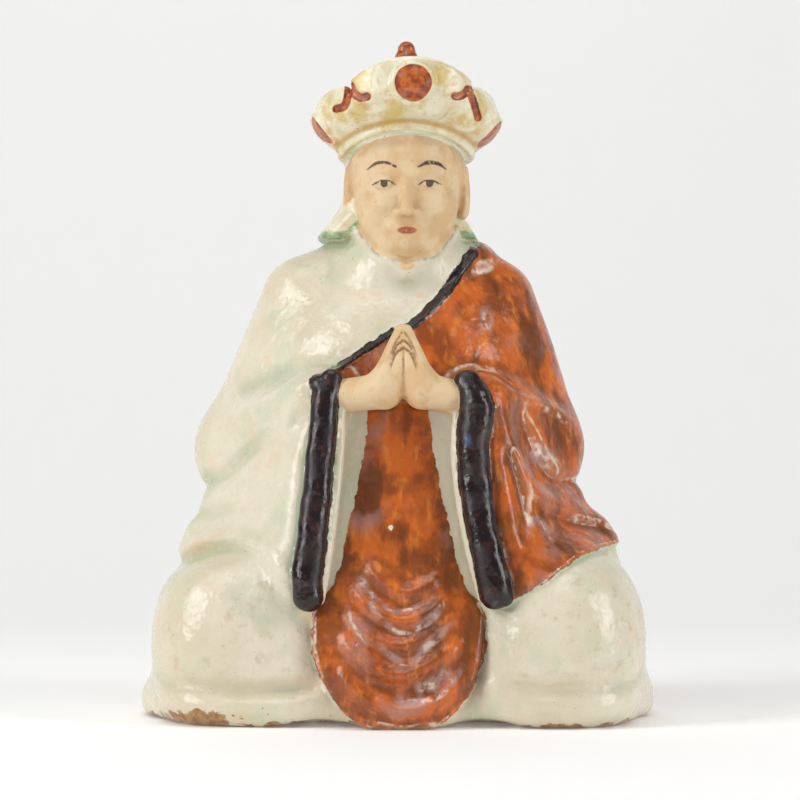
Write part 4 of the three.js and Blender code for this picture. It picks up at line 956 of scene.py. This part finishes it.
celadon_white = glaze(
    "#d6ccb2",
    ("#dfd6c0", clouds(26, 0.38, 0.62)),
    ("#dfc09a", clouds(9, 0.55, 0.76, 0.45, detail=4, rough=0.6, shift=(3, 1, 7))),
    ("#c6ccb0", clouds(15, 0.5, 0.7, 0.7, shift=(9, 4, 2))),
    # green of glaze pooled in hollows, also a painted shade in creases and recesses
    ("#aeba9c", stored("hollow", 0.12, 1.2, 0.7)),
    ("#dcb184", stored("ridge", 0.3, 1.1, 0.45)),
    ("#b09468", clouds(5, 0.52, 0.72, 0.45, detail=5, rough=0.7, shift=(3, 3, 8)), stored("worn", 0, 1)),
    # painted shadow line where the robe meets the jaw
    ("#8f7757", stored("painted_jaw_shadow", 0, 1, 0.6), clouds(2.5, 0.3, 0.6)),
    ("#7c5b3a", clouds(0.75, 0.775, 0.8, 0.85, detail=1, rough=0.4, shift=(8, 2, 2))))

# brushed on downwards, so its patches are drawn out that way
DOWNWARDS = (1.5, 1.5, 0.5)
iron_red = glaze(
    "#944a20",
    ("#cb6525", clouds(11, 0.4, 0.6, detail=3, shift=(5, 2, 0))),
    ("#e08436", clouds(4.5, 0.5, 0.72, 0.8, detail=4, rough=0.6, squash=DOWNWARDS)),
    ("#67391c", clouds(13, 0.5, 0.64, 0.8, detail=4, squash=DOWNWARDS, shift=(1, 8, 3))),
    ("#55331f", clouds(1.4, 0.6, 0.78, 0.4, rough=0.6)),
    # painted lilac-grey sheen, in cloudy patches
    ("#a87f75", clouds(17, 0.54, 0.7, 0.6, rough=0.5, shift=(7, 7, 1))),
    # painted shade, darker brown in hollows
    ("#6b3c22", stored("hollow", 0.2, 1.2, 0.6)),
    ("#d8843f", stored("ridge", 0.3, 1.0, 0.5)),
    # painted shade between the apron's folds
    ("#74401d", stored("painted_fold_shade", 0.3, 0.9, 0.65), clouds(7, 0.36, 0.58, shift=(8, 3, 3))),
    # painted reflection in lilac-grey and painted highlight in near-white, along the strokes on the folds
    ("#b08a80", stored("painted_highlight", 0.1, 0.9), clouds(4, 0.34, 0.58, 0.85, detail=5, shift=(2, 2, 2))),
    ("#e6d2c2", stored("painted_highlight", 0.6, 1), clouds(3, 0.46, 0.6, 0.7, detail=4, shift=(1, 6, 2))),
    # a thin painted highlight outlining the ridge crests
    ("#e2c9b4", stored("ridge", 0.34, 0.46), stored("ridge", 0.62, 0.5),
     clouds(3, 0.4, 0.6, 0.85, shift=(6, 6, 0))),
    ("#e9dfce", brushed("spot_in", soft=0.15, waver=0.5)))

manganese_brown = glaze(
    "#1b1013",
    ("#33201c", clouds(5, 0.45, 0.7, detail=4)),
    ("#5f3324", clouds(3.2, 0.55, 0.7, 0.5, detail=5, rough=0.65, shift=(2, 2, 9))),
    # painted lilac-grey sheen on the dark brown
    ("#5d5660", clouds(6, 0.6, 0.74, 0.5, detail=3, shift=(9, 2, 4))),
    ("#3a5a86", stored("blue_in", -0.4, 1.2, 0.7)))

straw = glaze(
    "#dcd3b2",
    ("#e9e2c8", clouds(7, 0.4, 0.6, detail=4)),
    ("#cdb05a", clouds(9, 0.46, 0.64, 0.75, detail=5, rough=0.62, shift=(2, 5, 5))),
    ("#c08f45", clouds(5, 0.56, 0.7, 0.5, detail=5, rough=0.62, shift=(6, 1, 5))),
    ("#b98c3e", stored("foot_groove", 0, 1, 0.8)),
    ("#d5d9ba", stored("hollow", 0.4, 1.4, 0.5)),
    # painted highlight along the crown's top edge
    ("#f0ead6", brushed("painted_highlight_edge_in", waver=0.3, amount=0.85)),
    ("#7a5c36", clouds(0.8, 0.75, 0.79, 0.8, detail=1, rough=0.4, shift=(4, 4, 1))))

biscuit = glaze(
    "#d6b283",
    ("#dfc49b", clouds(8, 0.4, 0.6)),
    # painted shade and soil on the forehead under the crown's rim
    ("#a98660", stored("rim_shade_and_soil", 0, 1, 0.5), clouds(5, 0.3, 0.6, detail=4, shift=(3, 9, 9))),
    ("#c79f76", clouds(3, 0.58, 0.72, 0.4, detail=4, shift=(4, 4, 4))),
    # painted shade, darker biscuit in hollows and creases
    ("#bd9466", stored("hollow", 0.35, 1.1, 0.5)),
    ("#8a6f50", clouds(0.7, 0.74, 0.8, 0.7, detail=1, rough=0.4, shift=(1, 6, 6))),
    ("#84592f", stored("finger_line", 0.15, 0.8, 0.9), clouds(1.2, 0.2, 0.6)),
    ("#4c3226", brushed("brow_in", soft=0.2, waver=0.3), clouds(0.8, 0.2, 0.5)),
    ("#33231e", brushed("eye_in", waver=0.1, amount=0.9)),
    ("#a4573a", stored("lip_in", -0.1, 0.25), clouds(0.8, 0.2, 0.5)))

jewel_red = glaze(
    "#8c4228",
    ("#c66a2c", clouds(2.4, 0.4, 0.62, detail=5)),
    ("#a8705c", clouds(3.6, 0.52, 0.66, 0.7, shift=(6, 1, 1))))
cape_green = glaze("#6f9668", ("#a9b78c", clouds(4, 0.45, 0.6)))
bare_clay = glaze("#93683f", ("#b08a5c", clouds(2.5, 0.4, 0.6, detail=4)))

reds = {0: brushed("cloth_in"), 1: brushed("apron_in")}
reds = {0: add(tree, "ShaderNodeMath", reds, operation="MAXIMUM"), 1: brushed("lining_in")}
reds = add(tree, "ShaderNodeMath", reds, operation="SUBTRACT", use_clamp=True)
painted_all = glaze(
    celadon_white,
    (iron_red, reds),
    (manganese_brown, brushed("band_in", waver=0.8)),
    (manganese_brown, brushed("border_in", waver=0.5)),
    (bare_clay, brushed("clay_in", soft=0.2, waver=1.4)),
    (straw, brushed("crown_in", waver=0.4)),
    (cape_green, brushed("hem_in", soft=0.5, amount=0.9)),
    (biscuit, brushed("flesh_in", waver=0.4)),
    (biscuit, brushed("hands_in", waver=0.3)),
    (jewel_red, brushed("jewel_in", waver=0.25)))

# bare biscuit is matt, the brown is patchy, the other glazes have a wet shine
WET_SHINE = 0.1
BISCUIT_ROUGH = 0.52
GLASS = 1.5                # refraction of the glaze
matt = {0: brushed("flesh_in", waver=0.4), 1: brushed("hands_in", waver=0.3)}
matt = add(tree, "ShaderNodeMath", matt, operation="MAXIMUM")
patchy = {0: brushed("border_in", waver=0.5), 2: clouds(4, 0.35, 0.7, 0.22, detail=4, shift=(5, 5, 5))}
patchy[3] = clouds(7, 0.4, 0.58, 0.3, shift=(5, 1, 5))
patchy = add(tree, "ShaderNodeMix", patchy, data_type="FLOAT")
roughness = add(tree, "ShaderNodeMath", {0: patchy, 1: WET_SHINE}, operation="ADD")
roughness = add(tree, "ShaderNodeMix", {0: matt, 2: roughness, 3: BISCUIT_ROUGH}, data_type="FLOAT")

# a surface smoothed by hand, brush marks, and the grain of the body under the glaze
bumps = {}
for height, strength, distance in (
        (clouds(6, detail=2), 0.36, 0.0012),
        (clouds(2.6, detail=5, rough=0.65, squash=DOWNWARDS), 0.2, 0.0004),
        (clouds(0.9), 0.08, 0.0003)):
    bumps.update({"Height": height, "Strength": strength, "Distance": distance})
    bump = add(tree, "ShaderNodeBump", bumps)
    bumps = {"Normal": bump}
shader = add(tree, "ShaderNodeBsdfPrincipled", {
    "Base Color": painted_all, "Roughness": roughness, "Normal": bump, "IOR": GLASS})
add(tree, "ShaderNodeOutputMaterial", {"Surface": shader})
mesh.materials.append(porcelain)

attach(piece, "root")
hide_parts("figure")

# Floor and light.
# A seamless pale sweep under and behind the figure, two large soft boxes at its sides, one overhead.
SWEEP_HALF = 1.6           # half width
SWEEP_FRONT = -2.0
SWEEP_BACK = 0.9
SWEEP_BEND = 0.5           # radius of the bend
SWEEP_STEPS = 12           # flats in the bend
SWEEP_HIGH = 1.8
PAPER_ROUGH = 0.9
PAPER_GLOW = 0.12
ROOM_LIGHT = 0.24

profile = [(SWEEP_FRONT, 0.0), (SWEEP_BACK - SWEEP_BEND, 0.0)]
for step in range(1, SWEEP_STEPS + 1):
    turn = math.pi / 2 * step / SWEEP_STEPS
    back = SWEEP_BACK - SWEEP_BEND + SWEEP_BEND * math.sin(turn)
    profile.append((back, SWEEP_BEND * (1 - math.cos(turn))))
profile.append((SWEEP_BACK, SWEEP_HIGH))
sweep_mesh = bpy.data.meshes.new("paper_sweep")
sweep_points = [(side * SWEEP_HALF, sy, sz) for sy, sz in profile for side in (-1, 1)]
sweep_faces = [(2 * i, 2 * i + 1, 2 * i + 3, 2 * i + 2) for i in range(len(profile) - 1)]
sweep_mesh.from_pydata(sweep_points, [], sweep_faces)
sweep_mesh.polygons.foreach_set("use_smooth", [True] * len(sweep_faces))
sweep = bpy.data.objects.new("paper_sweep", sweep_mesh)
bpy.context.scene.collection.objects.link(sweep)
paper = bpy.data.materials.new("white_background_paper")
paper.use_nodes = True
paper_inputs = paper.node_tree.nodes["Principled BSDF"].inputs
paper_inputs["Base Color"].default_value = linear("#f7f7f6")
paper_inputs["Roughness"].default_value = PAPER_ROUGH
paper_inputs["Emission Color"].default_value = linear("#ffffff")
paper_inputs["Emission Strength"].default_value = PAPER_GLOW
sweep_mesh.materials.append(paper)

AIM = Vector((0, 0, 0.1))  # where the soft boxes point
SOFT_BOXES = (  # place, width, height, watts
    ((-0.8, -0.5, 0.5), 0.4, 0.8, 6.2),
    ((0.85, -0.45, 0.35), 0.35, 0.8, 4.5),
    ((-0.1, -0.25, 1.1), 0.7, 0.6, 3.2))
for number, (at, wide, high, watts) in enumerate(SOFT_BOXES, 1):
    lamp = bpy.data.lights.new(f"soft_box_{number}", "AREA")
    lamp.shape, lamp.size, lamp.size_y, lamp.energy = "RECTANGLE", wide, high, watts
    box = bpy.data.objects.new(f"soft_box_{number}", lamp)
    box.location = at
    box.rotation_mode = "QUATERNION"
    box.rotation_quaternion = (AIM - Vector(at)).to_track_quat("-Z", "Y")
    bpy.context.scene.collection.objects.link(box)
world = bpy.data.worlds.new("white_studio")
world.use_nodes = True
world.node_tree.nodes["Background"].inputs["Color"].default_value = (1, 1, 1, 1)
world.node_tree.nodes["Background"].inputs["Strength"].default_value = ROOM_LIGHT
bpy.context.scene.world = world
bpy.context.scene.view_settings.view_transform = "Standard"

# Camera: level with the middle of the figure, a metre away, as the photograph was taken.
CAMERA_FAR = 1.0
CAMERA_HIGH = 0.0977
CAMERA_SIDE = -0.0006
VIEW_WIDE = 0.2496         # width of the view at the figure's middle
SENSOR_WIDE = 36
camera_data = bpy.data.cameras.new("camera")
camera_data.sensor_width = SENSOR_WIDE
camera_data.lens = SENSOR_WIDE * CAMERA_FAR / VIEW_WIDE
camera = bpy.data.objects.new("camera", camera_data)
camera.location = Vector((CAMERA_SIDE, -CAMERA_FAR, CAMERA_HIGH)) - Vector(middle / MM_PER_M)
camera.rotation_euler = (math.pi / 2, 0, 0)
bpy.context.scene.collection.objects.link(camera)
bpy.context.scene.camera = camera
